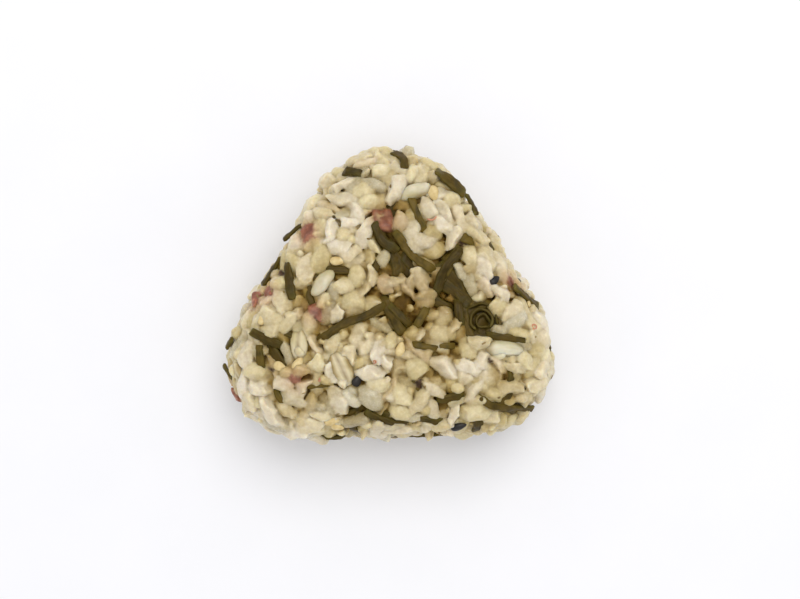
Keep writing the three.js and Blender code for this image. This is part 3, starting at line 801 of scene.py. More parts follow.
def closeness(vertices, picked, heap, kelp_beads):
    """1 where a grain touches its neighbours and 0 where nothing is near, for every vertex."""
    share = np.array([-1.0, -0.5, 0.0, 0.5, 1.0])
    spine = (heap["axis"] * heap["reach"][:, None])[:, None] * share[None, :, None]
    beads = heap["centre"][:, None] + spine
    result = np.zeros(vertices.shape[:2])
    for row, i in enumerate(picked):
        far = np.linalg.norm(heap["centre"] - heap["centre"][i], axis=1)
        near = np.nonzero((far < TOUCHING["grains_within"]) & (far > 0))[0]
        around = beads[near].reshape(-1, 3)
        radius = np.repeat(heap["radius"][near], len(share))
        from_kelp = np.linalg.norm(kelp_beads - heap["centre"][i], axis=1)
        kelp = kelp_beads[from_kelp < TOUCHING["kelp_within"]]
        around = np.vstack([around, kelp])
        radius = np.concatenate([radius, np.full(len(kelp), TOUCHING["kelp_radius"])])
        gap = np.linalg.norm(vertices[row][:, None] - around[None], axis=-1) - radius
        result[row] = np.clip(1 - gap.min(1) / TOUCHING["fades"], 0, 1)
    return result


def grain_arrays(name, heap, picked, kelp_beads, pickle_beads):
    """All vertices, faces and attributes of the grains of one kind."""
    local, shares, creases = grain_bodies(name, heap["size"][picked])
    count, each = local.shape[:2]
    along = heap["axis"][picked]
    centre = heap["centre"][picked]
    _, facing = depth_and_facing(centre)
    tilt = SHAPE_RULES[KINDS[name]["shape"]]["tilt"]
    up = facing + tilt * RANDOM.normal(size=(count, 3))
    side = unit(np.cross(up, along))
    basis = np.stack([along, side, np.cross(along, side)], 1)
    vertices = np.einsum("nvk,nkc->nvc", local, basis) + centre[:, None]
    vertices[..., 2] = soft_floor(vertices[..., 2])
    flat = vertices.reshape(-1, 3)
    depth, _ = depth_and_facing(flat)
    offset = RANDOM.uniform(0, 200, (count, 3))
    attributes = {
        "tone": np.repeat(RANDOM.uniform(size=count), each),
        "spot": (local + offset[:, None]).reshape(-1, 3),
        "along": shares.reshape(-1),
        "crease": creases.reshape(-1),
        "depth": depth,
        "close": closeness(vertices, picked, heap, kelp_beads).reshape(-1),
        "kelp_stain": stain(flat, kelp_beads, 1.5, 3.4),
        "pickle_stain": stain(flat, pickle_beads, 2.0, 4.8),
    }
    return flat, joined_faces(ball_faces(RINGS, SECTORS), each, count), attributes


def soft_floor(z):
    """Heights pressed flat on the table, with a small rounding where grains meet it."""
    return np.where(z > FLOOR_ROUNDING, z, FLOOR_ROUNDING * np.exp(z / FLOOR_ROUNDING - 1))


def stain(points, beads, near, far):
    """1 close to any of the beads and 0 away from them."""
    nearest = []
    for start in range(0, len(points), AT_A_TIME):
        some = points[start : start + AT_A_TIME]
        square = (some**2).sum(1)[:, None] + (beads**2).sum(1)[None, :] - 2 * some @ beads.T
        nearest.append(square.min(1))
    distance = np.sqrt(np.maximum(np.concatenate(nearest), 0))
    return np.clip((far - distance) / (far - near), 0, 1)


# ---------------------------------------------------------------- the pressed mass

# Cooked grains stick together, so the rice and barley are one closed skin: a field of distances
# to the grains is summed on a grid of cells, joined softly, and its zero level is made a mesh.
CELL = 0.3
GRID_LOW = (-42.6, -33.6, -0.9)
GRID_HIGH = (41.4, 40.6, 33.1)
STICKY = 0.06  # how far one grain's surface flows into the next one's
RIM_STICKY = 0.03  # and how much further round the edge
MOST_PROUD = 1.3  # how far out a grain may stand from the outer surface
HIGHEST = 31.7
REACH = 1.2  # how far out a grain's field is worked out
CORE_DEPTH = 2.2  # where the mash between the grains starts, under the outer surface
RIM_MASH = 0.8  # how much nearer to the surface it starts on the walls and round the edge
DEEPEST_PIT = 3.8  # no gap between the grains goes deeper than this
KELP_REACH = 4.0  # how far the kelp makes room for itself in the mash
MOST_TRIANGLES = 195000  # of each of the two pieces
SEAM = {"height": 13.5, "waver": 5.0, "overlap": 0.9, "tuck": 0.03}
SHARP_ANGLE = math.radians(62)  # the skin has a sharp crease where its faces turn by more than this
# Layers of noise: how strong each one is, and the size of its lumps.
GRAIN_WARPS = ((0.7, 2.2), (0.7, 1.2), (0.3, 0.7))
MASH_LUMPS = ((1.6, 3.4), (1.3, 1.5), (0.5, 0.8))
SKIN_LUMPS = ((0.4, 4.5), (0.18, 1.3), (0.16, 0.7))
FADE = (-3, 9)  # the distances from which a grain counts fully, and from which it doesn't at all
FLOOD_STEPS = 80
OVER_STRIP = {"beside": -0.35, "rises": (-0.1, 0.8)}  # the room kept clear over a strip
SHOWN = {"depth": 2.2, "hollow": 0.62}  # the part of the skin that specks may lie on
BROTH = {"x": 8.5, "y": 2.0, "wide": 13.0, "high": 9.5}  # the patch over the sunken hollow: a stain of the kelp's broth together with painted shade
MASKED_KINDS = ("rice_white", "rice_pink", "rice_clear", "barley", "pickle", "dark_bit")
PRESSED_KINDS = (*MASKED_KINDS, "rice_cream")

AXES = [np.arange(low, high, CELL) for low, high in zip(GRID_LOW, GRID_HIGH)]
GRID_SHAPE = tuple(len(axis) for axis in AXES)


def grid_noise(spacing):
    """Smooth noise from -1 to 1 on the grid, with lumps of about the given size."""
    weights = []
    for axis in AXES:
        place = (axis - axis[0]) / spacing
        knots = int(place[-1]) + 4
        away = np.abs(place[:, None] + 1 - np.arange(knots)[None, :])
        weight = np.cos(np.minimum(away, 2) * math.pi / 4) ** 2 / 2
        weights.append(np.where(away < 2, weight, 0).astype(np.float32))
    knots = RANDOM.uniform(-1, 1, [w.shape[1] for w in weights]).astype(np.float32)
    noise = np.tensordot(weights[0], knots, (1, 0))
    noise = np.einsum("ijk,yj->iyk", noise, weights[1], optimize=True)
    noise = np.einsum("iyk,zk->iyz", noise, weights[2], optimize=True)
    return 2.2 * noise


def layered_noise(layers):
    return sum(strength * grid_noise(spacing) for strength, spacing in layers)


def apart(axis, step):
    """The cells of a grid that are some steps ahead of others along an axis, and those others."""
    ahead, behind = [slice(None)] * 3, [slice(None)] * 3
    ahead[axis], behind[axis] = slice(step, None), slice(None, -step)
    return tuple(ahead), tuple(behind)


def grid_depth():
    """The depth under the outer surface all over the grid."""
    x, y, z = np.meshgrid(*AXES, indexing="ij", sparse=True)
    flat = np.stack(np.broadcast_arrays(x[..., 0], y[..., 0]), -1)
    across = outward(flat)[..., None]
    rise = z - MID_HEIGHT
    half = HALF_THICKNESS - np.where(rise > 0, sunken(flat)[..., None], 0.0)
    total = (across**EDGE_EXPONENT + np.abs(rise / half) ** EDGE_EXPONENT) ** (1 / EDGE_EXPONENT)
    total = total.astype(np.float32)
    steepness = np.sqrt(sum(g**2 for g in np.gradient(total, CELL)))
    return (1 - total) / np.maximum(steepness, 0.02)


def grain_distance(grain, offsets):
    """Roughly how far places are from the surface of one grain. offsets run along the grid's
    three directions from the grain's middle, and are warped to make it uneven."""
    along, side, up = [sum(part * offset for part, offset in zip(axis, offsets)) for axis in grain["basis"]]
    a, b, c = grain["half"]
    u = along / a
    arch = np.maximum(0, 1 - u * u)
    taper = 1 + grain["taper"] * u
    s = (side / b - grain["bend"] * arch) / taper
    t = up / c / taper
    square = grain["square"]
    girth = (np.abs(s) ** square + np.abs(t) ** square) ** (2 / square)
    q = np.sqrt(np.abs(u) ** grain["blunt"] + girth)
    steepness = np.sqrt((u / a) ** 2 + (s / b) ** 2 + (t / c) ** 2)
    distance = (q - 1) * q / np.maximum(steepness, 1e-3)
    for normal, height in grain["facets"]:
        distance = np.maximum(distance, along * normal[0] + side * normal[1] + up * normal[2] - height)
    for wave, phase, amount in grain["waves"]:
        distance = distance + amount * np.sin(along * wave[0] + side * wave[1] + up * wave[2] + phase)
    return distance


GRAIN_SHAPES = {
    "rice": {
        "blunt": (1.7, 2.7), "square": 2.5, "taper": 0.25, "bend": 0.35, "facets": 5, "lumps": 0.06,
        "warp": 0.8, "broken": 0.25,
    },
    "clear": {
        "blunt": (2.0, 2.6), "square": 2.3, "taper": 0.15, "bend": 0.2, "facets": 1, "lumps": 0.04,
        "warp": 0.5, "broken": 0.0,
    },
    "barley": {
        "blunt": (2.0, 2.6), "square": 2.3, "taper": 0.12, "bend": 0.06, "facets": 1, "lumps": 0.05,
        "warp": 0.5, "broken": 0.05,
    },
    "flake": {
        "blunt": (2.2, 3.0), "square": 2.4, "taper": 0.1, "bend": 0.1, "facets": 3, "lumps": 0.1,
        "warp": 1.2, "broken": 0.0,
    },
}
GRAIN_TURN = {"flake": 0.15}  # how far a grain rolls off the way that the surface faces
USUAL_TURN = 0.5
GRAIN_FACET = {"spread": (0.8, 1, 1), "reach": (0.68, 0.95), "broken_lean": 0.5, "broken_reach": (0.3, 0.75)}
GRAIN_WAVES = (1.1, 1.9, 3.0, 4.6)  # radians for each millimetre


def grain_form(heap, i):
    """One grain's own shape and size, with all its random turns."""
    kind = KINDS[KIND_NAMES[heap["kind"][i]]]
    rule = GRAIN_SHAPES[kind["shape"]]
    along = heap["axis"][i]
    _, facing = depth_and_facing(heap["centre"][i])
    up = facing + GRAIN_TURN.get(kind["shape"], USUAL_TURN) * RANDOM.normal(size=3)
    side = unit(np.cross(up, along))
    half = np.array(kind["half"]) * heap["size"][i] * (1 + 0.1 * RANDOM.normal(size=3).clip(-1.5, 1.5))
    facets = []
    for _ in range(rule["facets"]):
        normal = unit(RANDOM.normal(size=3) * GRAIN_FACET["spread"])
        facets.append((normal, np.linalg.norm(normal * half) * RANDOM.uniform(*GRAIN_FACET["reach"])))
    if RANDOM.uniform() < rule["broken"]:
        lean = GRAIN_FACET["broken_lean"]
        normal = unit(np.array([RANDOM.choice([-1, 1]), *RANDOM.uniform(-lean, lean, 2)]))
        facets.append((normal, half[0] * RANDOM.uniform(*GRAIN_FACET["broken_reach"])))
    waves = []
    for rate in GRAIN_WAVES:
        wave = unit(RANDOM.normal(size=3)) * rate
        waves.append((wave, RANDOM.uniform(0, 6.3), rule["lumps"] / rate**0.5))
    return {
        "basis": (along, side, np.cross(along, side)),
        "half": half,
        "blunt": RANDOM.uniform(*rule["blunt"]),
        "taper": rule["taper"] * RANDOM.uniform(-1, 1),
        "bend": rule["bend"] * RANDOM.uniform(-1, 1),
        "square": rule["square"],
        "facets": facets,
        "waves": waves,
        "warp": rule["warp"],
    }


def cells_near(centre, reach):
    """The part of the grid within reach of a place, as slices and as distances along each axis."""
    slices, offsets = [], []
    for k, axis in enumerate(AXES):
        first = max(0, int((centre[k] - reach[k] - axis[0]) / CELL))
        last = min(len(axis), int((centre[k] + reach[k] - axis[0]) / CELL) + 2)
        slices.append(slice(first, last))
        shape = [1, 1, 1]
        shape[k] = -1
        offsets.append((axis[first:last] - centre[k]).astype(np.float32).reshape(shape))
    return tuple(slices), offsets


def cells_round(centre, radius):
    """The part of the grid round a place, as slices, and how far each of its cells is away."""
    box, offsets = cells_near(centre, (radius, radius, radius))
    return box, np.sqrt(offsets[0] ** 2 + offsets[1] ** 2 + offsets[2] ** 2)


def bead_distance(beads):
    """The distance to the nearest of some beads all over the grid, up to KELP_REACH."""
    nearest = np.full(GRID_SHAPE, KELP_REACH, np.float32)
    for bead in beads:
        box, away = cells_round(bead, KELP_REACH)
        nearest[box] = np.minimum(nearest[box], away)
    return nearest


def flooded(start, allowed):
    """All cells reached from the start through allowed ones."""
    reached = start & allowed
    for _ in range(FLOOD_STEPS):
        grown = reached.copy()
        for axis in range(3):
            ahead, behind = apart(axis, 1)
            grown[ahead] |= reached[behind]
            grown[behind] |= reached[ahead]
        grown &= allowed
        if grown.sum() == reached.sum():
            break
        reached = grown
    return reached


def clear_of_strips():
    """Above 0 over the strips on the upper face, where no grain covers them."""
    clear = np.full(GRID_SHAPE, -3.0, np.float32)
    for strip in FACE_STRIPS:
        radius = 0.5 * strip["width"] + OVER_STRIP["beside"]
        path = strip_path(strip, max(4, int(2 * len(strip["route"]) * strip["width"])))
        _, facing = depth_and_facing(path)
        for rise in OVER_STRIP["rises"]:
            for bead in path + (rise + radius) * facing:
                box, away = cells_round(bead, radius)
                clear[box] = np.maximum(clear[box], radius - away)
    return clear


def pressed_field(heap, kelp_beads):
    """The field of the pressed mass, with the nearest grain and how close the next one is."""
    flat = np.stack(np.meshgrid(AXES[0], AXES[1], indexing="ij"), -1)
    rim = np.clip((outward(flat) - 0.5) / 0.35, 0, 1).astype(np.float32)[..., None]
    sticky = STICKY + RIM_STICKY * rim
    total = np.full(GRID_SHAPE, 1e-12, np.float32)
    first = np.full(GRID_SHAPE, REACH, np.float32)
    second = np.full(GRID_SHAPE, REACH, np.float32)
    nearest = np.full(GRID_SHAPE, -1, np.int32)
    warps = [layered_noise(GRAIN_WARPS) for _ in range(3)]
    for i, kind in enumerate(heap["kind"]):
        if KIND_NAMES[kind] not in PRESSED_KINDS:
            continue
        grain = grain_form(heap, i)
        span = np.abs(np.array(grain["basis"]).T) @ grain["half"] + REACH * 0.8
        box, offsets = cells_near(heap["centre"][i], span)
        offsets = [offset + grain["warp"] * warp[box] for offset, warp in zip(offsets, warps)]
        distance = grain_distance(grain, offsets)
        total[box] += np.exp(-np.clip(distance, *FADE) / sticky[box[:2]])
        closer = distance < first[box]
        second[box] = np.where(closer, first[box], np.minimum(second[box], distance))
        nearest[box] = np.where(closer, i, nearest[box])
        first[box] = np.minimum(first[box], distance)
    depth = grid_depth()
    mash = CORE_DEPTH - RIM_MASH * rim - depth
    mash += layered_noise(MASH_LUMPS)
    from_kelp = bead_distance(kelp_beads)
    mash = np.maximum(mash + 1.8 * np.clip(1 - from_kelp / KELP_REACH, 0, 1), 1.5 - from_kelp)
    mash = np.minimum(mash, np.maximum(DEEPEST_PIT - depth, FADE[0]))
    total += np.exp(-np.clip(mash, *FADE) / sticky)
    field = -sticky * np.log(total)
    field += layered_noise(SKIN_LUMPS)
    field = np.maximum(field, clear_of_strips())
    field = np.maximum(field, np.maximum(-MOST_PROUD - depth, AXES[2][None, None, :] - HIGHEST))
    floor = -AXES[2][None, None, :].astype(np.float32)
    field = np.maximum(field, floor)
    outside = flooded((depth < -REACH) | (floor > 0.5 * CELL), field > 0)
    field = np.where((field > 0) & ~outside, -0.1, field)
    inside = flooded(depth > 6, field <= 0)
    field = np.where((field <= 0) & ~inside, 0.1, field)
    return field, nearest, second - first


def blurred(values, reach):
    """Values averaged over the cells within reach along each axis, twice over."""
    width = 2 * reach + 1
    for axis in (0, 1, 2, 0, 1, 2):
        padding = [(0, 0)] * 3
        padding[axis] = (reach + 1, reach)
        sums = np.cumsum(np.pad(values, padding, mode="edge"), axis=axis, dtype=np.float64)
        ahead, behind = apart(axis, width)
        values = ((sums[ahead] - sums[behind]) / width).astype(np.float32)
    return values


def two_parts(field):
    """The field of the upper part and of the lower part, which tucks in under the upper one
    where they overlap, so that each of them is a closed body."""
    height = AXES[2][None, None, :].astype(np.float32)
    seam = SEAM["height"] + SEAM["waver"] * grid_noise(5.0)
    upper = np.maximum(field, seam - height)
    tuck = SEAM["tuck"] * np.clip((height - seam) / 0.3 + 1, 0, 1)
    lower = np.maximum(field + tuck, height - seam - SEAM["overlap"])
    return {"upper": upper, "lower": lower}


def level_mesh(field):
    """Vertices and faces of a field's zero level, by surface nets: one vertex in each cell that
    the level crosses and one face round each edge of the grid that it crosses."""
    inside = field < 0
    cells = tuple(n - 1 for n in field.shape)
    steps = np.eye(3, dtype=int)
    crossings = []
    for axis, step in enumerate(steps):
        ahead, behind = apart(axis, 1)
        places = np.argwhere(inside[ahead] != inside[behind])
        here = field[tuple(places.T)]
        there = field[tuple((places + step).T)]
        share = here / (here - there)
        crossings.append((places, places + share[:, None] * step, here < 0))
    sums = np.zeros((int(np.prod(cells)), 3), np.float32)
    hits = np.zeros(int(np.prod(cells)), np.int32)
    rings = []
    for axis, (places, exact, inward) in enumerate(crossings):
        one, two = steps[(axis + 1) % 3], steps[(axis + 2) % 3]
        corners = (0 * one, one, one + two, two)
        ring = [np.ravel_multi_index(tuple((places - corner).T), cells) for corner in corners]
        for cell in ring:
            for k in range(3):
                sums[:, k] += np.bincount(cell, exact[:, k], len(hits)).astype(np.float32)
            hits += np.bincount(cell, minlength=len(hits)).astype(np.int32)
        ring = np.stack(ring, -1)
        rings.append(np.where(inward[:, None], ring, ring[:, ::-1]))
    used = np.nonzero(hits)[0]
    number = np.full(len(hits), -1)
    number[used] = np.arange(len(used))
    vertices = sums[used] / hits[used, None] * CELL + np.array(GRID_LOW)
    return vertices, number[np.concatenate(rings)]


def sampled(values, points):
    """A grid's values at points, from the nearest cells' corners."""
    place = (points - np.array(GRID_LOW)) / CELL
    base = np.clip(place.astype(int), 0, np.array(values.shape) - 2)
    share = place - base
    result = np.zeros(len(points))
    for corner in np.ndindex(2, 2, 2):
        weight = np.prod(np.where(np.array(corner), share, 1 - share), axis=1)
        result += weight * values[tuple((base + corner).T)]
    return result


def thinned(vertices, faces, most_triangles):
    """The same closed surface with fewer triangles, dropped where it is flattest."""
    mesh = bpy.data.meshes.new("thick")
    mesh.from_pydata(vertices.tolist(), [], faces.tolist())
    draft = bpy.data.objects.new("thick", mesh)
    bpy.context.scene.collection.objects.link(draft)
    thin = draft.modifiers.new("thin", "DECIMATE")
    thin.ratio = min(1.0, most_triangles / (2 * len(faces)))
    thin.use_collapse_triangulate = True
    done = draft.evaluated_get(bpy.context.evaluated_depsgraph_get()).to_mesh()
    places = np.zeros(3 * len(done.vertices))
    done.vertices.foreach_get("co", places)
    corners = np.zeros(3 * len(done.polygons), int)
    done.polygons.foreach_get("vertices", corners)
    bpy.data.objects.remove(draft)
    bpy.data.meshes.remove(mesh)
    return places.reshape(-1, 3), corners.reshape(-1, 3)


def smoothed(values, edges, rounds):
    """Values at vertices, mixed with those of the vertices next to them."""
    count = np.bincount(edges.ravel(), minlength=len(values))
    for _ in range(rounds):
        total = np.bincount(edges[:, 0], values[edges[:, 1]], len(values))
        total += np.bincount(edges[:, 1], values[edges[:, 0]], len(values))
        values = 0.5 * values + 0.5 * total / np.maximum(count, 1)
    return values


def skin_attributes(vertices, faces, heap, chance, grids, kelp_beads, pickle_beads):
    """What the material reads at each vertex: which kind of grain is there, its own tone, how deep and hollow
    the place is, how near the next grain is, what stains it, and the broth patch, which is a stain and
    painted shade in one."""
    nearest, gap, hollow, wide_hollow = grids
    edges = np.vstack([faces[:, [0, 1]], faces[:, [1, 2]], faces[:, [2, 0]]])
    place = np.rint((vertices - np.array(GRID_LOW)) / CELL).astype(int)
    owner = nearest[tuple(np.clip(place, 0, np.array(GRID_SHAPE) - 1).T)]
    kind = np.where(owner >= 0, heap["kind"][owner], len(KIND_NAMES))
    depth, _ = depth_and_facing(vertices)
    top_depth = depth_and_facing(heap["centre"])[0] - 0.6 * heap["radius"]
    grain_depth = np.where(owner >= 0, top_depth[owner], depth)
    from_broth = ((vertices[:, 0] - BROTH["x"]) / BROTH["wide"]) ** 2
    from_broth += ((vertices[:, 1] - BROTH["y"]) / BROTH["high"]) ** 2
    names = [*KIND_NAMES, "mash"]
    masks = {name: (kind == names.index(name)).astype(float) for name in (*MASKED_KINDS, "mash")}
    return {
        **{name: smoothed(mask, edges, 1) for name, mask in masks.items()},
        "tone": smoothed(chance[owner], edges, 1),
        "depth": 0.5 * depth + 0.5 * smoothed(grain_depth, edges, 1),
        "close": smoothed(np.clip(1 - sampled(gap, vertices) / 0.9, 0, 1), edges, 1),
        "hollow": sampled(hollow, vertices),
        "wide_hollow": sampled(wide_hollow, vertices),
        "kelp_stain": stain(vertices, kelp_beads, 1.0, 6.0),
        "broth": np.exp(-from_broth) * np.clip((vertices[:, 2] - MID_HEIGHT) / 8, 0, 1),
        "pickle_stain": stain(vertices, pickle_beads, 2.0, 4.8),
        "rim": np.clip((outward(vertices) - 0.72) / 0.2, 0, 1),
    }


def build_pressed(heap, kelp_beads, pickle_beads, material):
    """The two closed pieces of rice and barley. Returns the skin's vertices and the way they face."""
    field, nearest, gap = pressed_field(heap, kelp_beads)
    filled = np.clip(0.5 - field / CELL, 0, 1)
    grids = (nearest, gap, blurred(filled, 2), blurred(filled, 5))
    chance = RANDOM.uniform(size=len(heap["kind"]) + 1)
    skin = []
    for part, part_field in two_parts(field).items():
        vertices, faces = thinned(*level_mesh(part_field), MOST_TRIANGLES)
        attributes = skin_attributes(vertices, faces, heap, chance, grids, kelp_beads, pickle_beads)
        depth, _ = depth_and_facing(vertices)
        vertices[:, 2] = np.maximum(vertices[:, 2], 0)
        piece = new_piece(f"pressed_grains_{part}", vertices, faces.tolist(), attributes, material, "rice")
        piece.data.set_sharp_from_angle(angle=SHARP_ANGLE)
        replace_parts(piece, "rice_ball")
        facing = np.array([vertex.normal for vertex in piece.data.vertices])
        shown = (depth < SHOWN["depth"]) & (attributes["hollow"] < SHOWN["hollow"])
        skin.append(np.hstack([vertices, facing])[shown])
    return np.vstack(skin)


# ---------------------------------------------------------------- materials


def srgb(*values):
    """A colour given as 0 to 255 on screen, as the linear colour that a shader takes."""
    linear = [(v / 255 / 12.92) if v <= 10 else ((v / 255 + 0.055) / 1.055) ** 2.4 for v in values]
    return (*linear, 1.0)


# The colours of each kind of grain, from the darkest to the lightest.
CREAM = [srgb(202, 188, 153), srgb(209, 197, 163), srgb(216, 204, 177)]
PALETTES = {
    "rice_white": [srgb(207, 197, 173), srgb(214, 204, 182), srgb(220, 211, 192)],
    "rice_clear": [srgb(178, 168, 142), srgb(192, 184, 160), srgb(206, 201, 182)],
    "rice_wet": [srgb(190, 182, 153), srgb(200, 194, 169), srgb(208, 204, 183)],
    "rice_pink": [srgb(204, 186, 156), srgb(213, 198, 170), srgb(221, 208, 184)],
    "barley": [srgb(203, 190, 149), srgb(211, 199, 161), srgb(217, 206, 173)],
}
PICKLE = [srgb(134, 88, 70), srgb(156, 108, 88), srgb(178, 134, 112)]
DARK_LEAF = [srgb(58, 36, 18), srgb(92, 64, 36)]


# The sockets of a Mix node for colours.
COLOUR_FACTOR, FIRST_COLOUR, SECOND_COLOUR, MIXED_COLOUR = 0, 6, 7, 2
COAT_ROUGHNESS = 0.25


class Shader:
    """A material under construction, with short ways to add and link its nodes."""

    def __init__(self, name, roughness, specular=0.5, subsurface=0.0, radius=(1, 1, 1), reach=1.0, coat=0.0):
        self.material = bpy.data.materials.new(name)
        self.material.use_nodes = True
        self.tree = self.material.node_tree
        self.surface = self.tree.nodes["Principled BSDF"]
        inputs = self.surface.inputs
        inputs["Roughness"].default_value = roughness
        inputs["Specular IOR Level"].default_value = specular
        inputs["Subsurface Weight"].default_value = subsurface
        inputs["Subsurface Radius"].default_value = radius
        inputs["Subsurface Scale"].default_value = reach * MM
        inputs["Coat Weight"].default_value = coat
        inputs["Coat Roughness"].default_value = COAT_ROUGHNESS

    def add(self, kind, links=None, **settings):
        node = self.tree.nodes.new(kind)
        for key, value in settings.items():
            setattr(node, key, value)
        for key, value in (links or {}).items():
            if isinstance(value, bpy.types.NodeSocket):
                self.tree.links.new(value, node.inputs[key])
            else:
                node.inputs[key].default_value = value
        return node

    def attribute(self, name, output="Fac"):
        return self.add("ShaderNodeAttribute", attribute_name=name).outputs[output]

    def ramp(self, factor, *stops):
        node = self.add("ShaderNodeValToRGB", {"Fac": factor})
        elements = node.color_ramp.elements
        while len(elements) < len(stops):
            elements.new(0.5)
        for element, (position, colour) in zip(elements, stops):
            element.position = position
            element.color = colour
        return node.outputs["Color"]

    def palette(self, tone, colours):
        return self.ramp(tone, *[(i / (len(colours) - 1), colour) for i, colour in enumerate(colours)])

    def noise(self, vector, scale, detail=2.0, roughness=0.5):
        links = {"Vector": vector, "Scale": scale, "Detail": detail, "Roughness": roughness}
        return self.add("ShaderNodeTexNoise", links).outputs["Fac"]

    def stretched(self, vector, scale):
        return self.add("ShaderNodeMapping", {"Vector": vector, "Scale": scale}).outputs["Vector"]

    def maths(self, operation, first, second=0.0):
        return self.add("ShaderNodeMath", {0: first, 1: second}, operation=operation).outputs["Value"]

    def times(self, first, second):
        return self.maths("MULTIPLY", first, second)

    def ranged(self, value, low, high, to_low=0.0, to_high=1.0):
        links = {"Value": value, "From Min": low, "From Max": high, "To Min": to_low, "To Max": to_high}
        return self.add("ShaderNodeMapRange", links).outputs["Result"]

    def mix(self, factor, first, second, blend="MIX"):
        links = {COLOUR_FACTOR: factor, FIRST_COLOUR: first, SECOND_COLOUR: second}
        node = self.add("ShaderNodeMix", data_type="RGBA", blend_type=blend)
        for index, value in links.items():
            if isinstance(value, bpy.types.NodeSocket):
                self.tree.links.new(value, node.inputs[index])
            else:
                node.inputs[index].default_value = value
        return node.outputs[MIXED_COLOUR]

    # Multiplies a shade into a colour: used both for real stains and for painted shade.
    def stained(self, colour, factor, shade):
        return self.mix(factor, colour, srgb(*shade), "MULTIPLY")

    def layered(self, colour, *layers):
        """A colour under layers. Each goes by a value: the value where it starts and the value where
        it is at its strongest, how strong that is, its colour and how it blends."""
        for value, start, full, strength, shade, *blend in layers:
            factor = self.ranged(value, start, full, 0.0, strength)
            colour = self.mix(factor, colour, srgb(*shade), *blend)
        return colour

    def bump(self, height, strength, distance, normal=None):
        links = {"Height": height, "Strength": strength, "Distance": distance * MM}
        if normal:
            links["Normal"] = normal
        return self.add("ShaderNodeBump", links).outputs["Normal"]

    def finish(self, colour, normal=None, roughness=None):
        self.tree.links.new(colour, self.surface.inputs["Base Color"])
        if normal:
            self.tree.links.new(normal, self.surface.inputs["Normal"])
        if roughness:
            self.tree.links.new(roughness, self.surface.inputs["Roughness"])
        return self.material


def grain_material(name, palette, subsurface, reach, roughness):
    """Cooked grain: a palette from its darkest to its lightest grain, mottled, whiter at the tips, stained by
    the kelp and the pickle near it, yellower where it touches other grains and darker down in the gaps, both
    of them painted shade."""
    shader = Shader(name, roughness, 0.4, subsurface, (1.0, 0.72, 0.42), reach, coat=0.12)
    spot = shader.attribute("spot", "Vector")
    streaks = shader.noise(shader.stretched(spot, (0.25, 1.6, 1.6)), 1.0, 3.0)
    colour = shader.layered(
        shader.palette(shader.attribute("tone"), palette),
        (shader.noise(spot, 0.55, 3.0), 0.35, 0.7, 0.3, (244, 236, 216)),
        (streaks, 0.45, 0.75, 0.25, (188, 170, 122)),
    )
    tips = shader.maths("POWER", shader.maths("ABSOLUTE", shader.attribute("along")), 6.0)
    colour = shader.mix(shader.times(tips, 0.25), colour, srgb(246, 240, 224))
    # Painted shade where the grain touches others, multiplied in beside the real kelp and pickle stains.
    touching = shader.maths("POWER", shader.attribute("close"), 1.6)
    for value, strength, shade in (
        (shader.attribute("kelp_stain"), 0.55, (206, 196, 132)),
        (shader.attribute("pickle_stain"), 0.55, (226, 176, 150)),
        (touching, 0.8, (176, 154, 98)),
    ):
        colour = shader.stained(colour, shader.times(value, strength), shade)
    # Painted shade: darker the deeper the place lies under the outer surface.
    deep = (shader.attribute("depth"), 1.4, 4.5, 0.9, (140, 120, 64), "MULTIPLY")
    colour = shader.layered(colour, deep)
    crease = shader.times(shader.attribute("crease"), 0.75)
    colour = shader.mix(crease, colour, srgb(120, 92, 52))
    fine = shader.noise(spot, 3.2, 4.0, 0.6)
    normal = shader.bump(streaks, 0.4, 0.25, shader.bump(fine, 0.25, 0.12))
    rough = shader.ranged(fine, 0.3, 0.7, roughness - 0.07, roughness + 0.12)
    return shader.finish(colour, normal, rough)


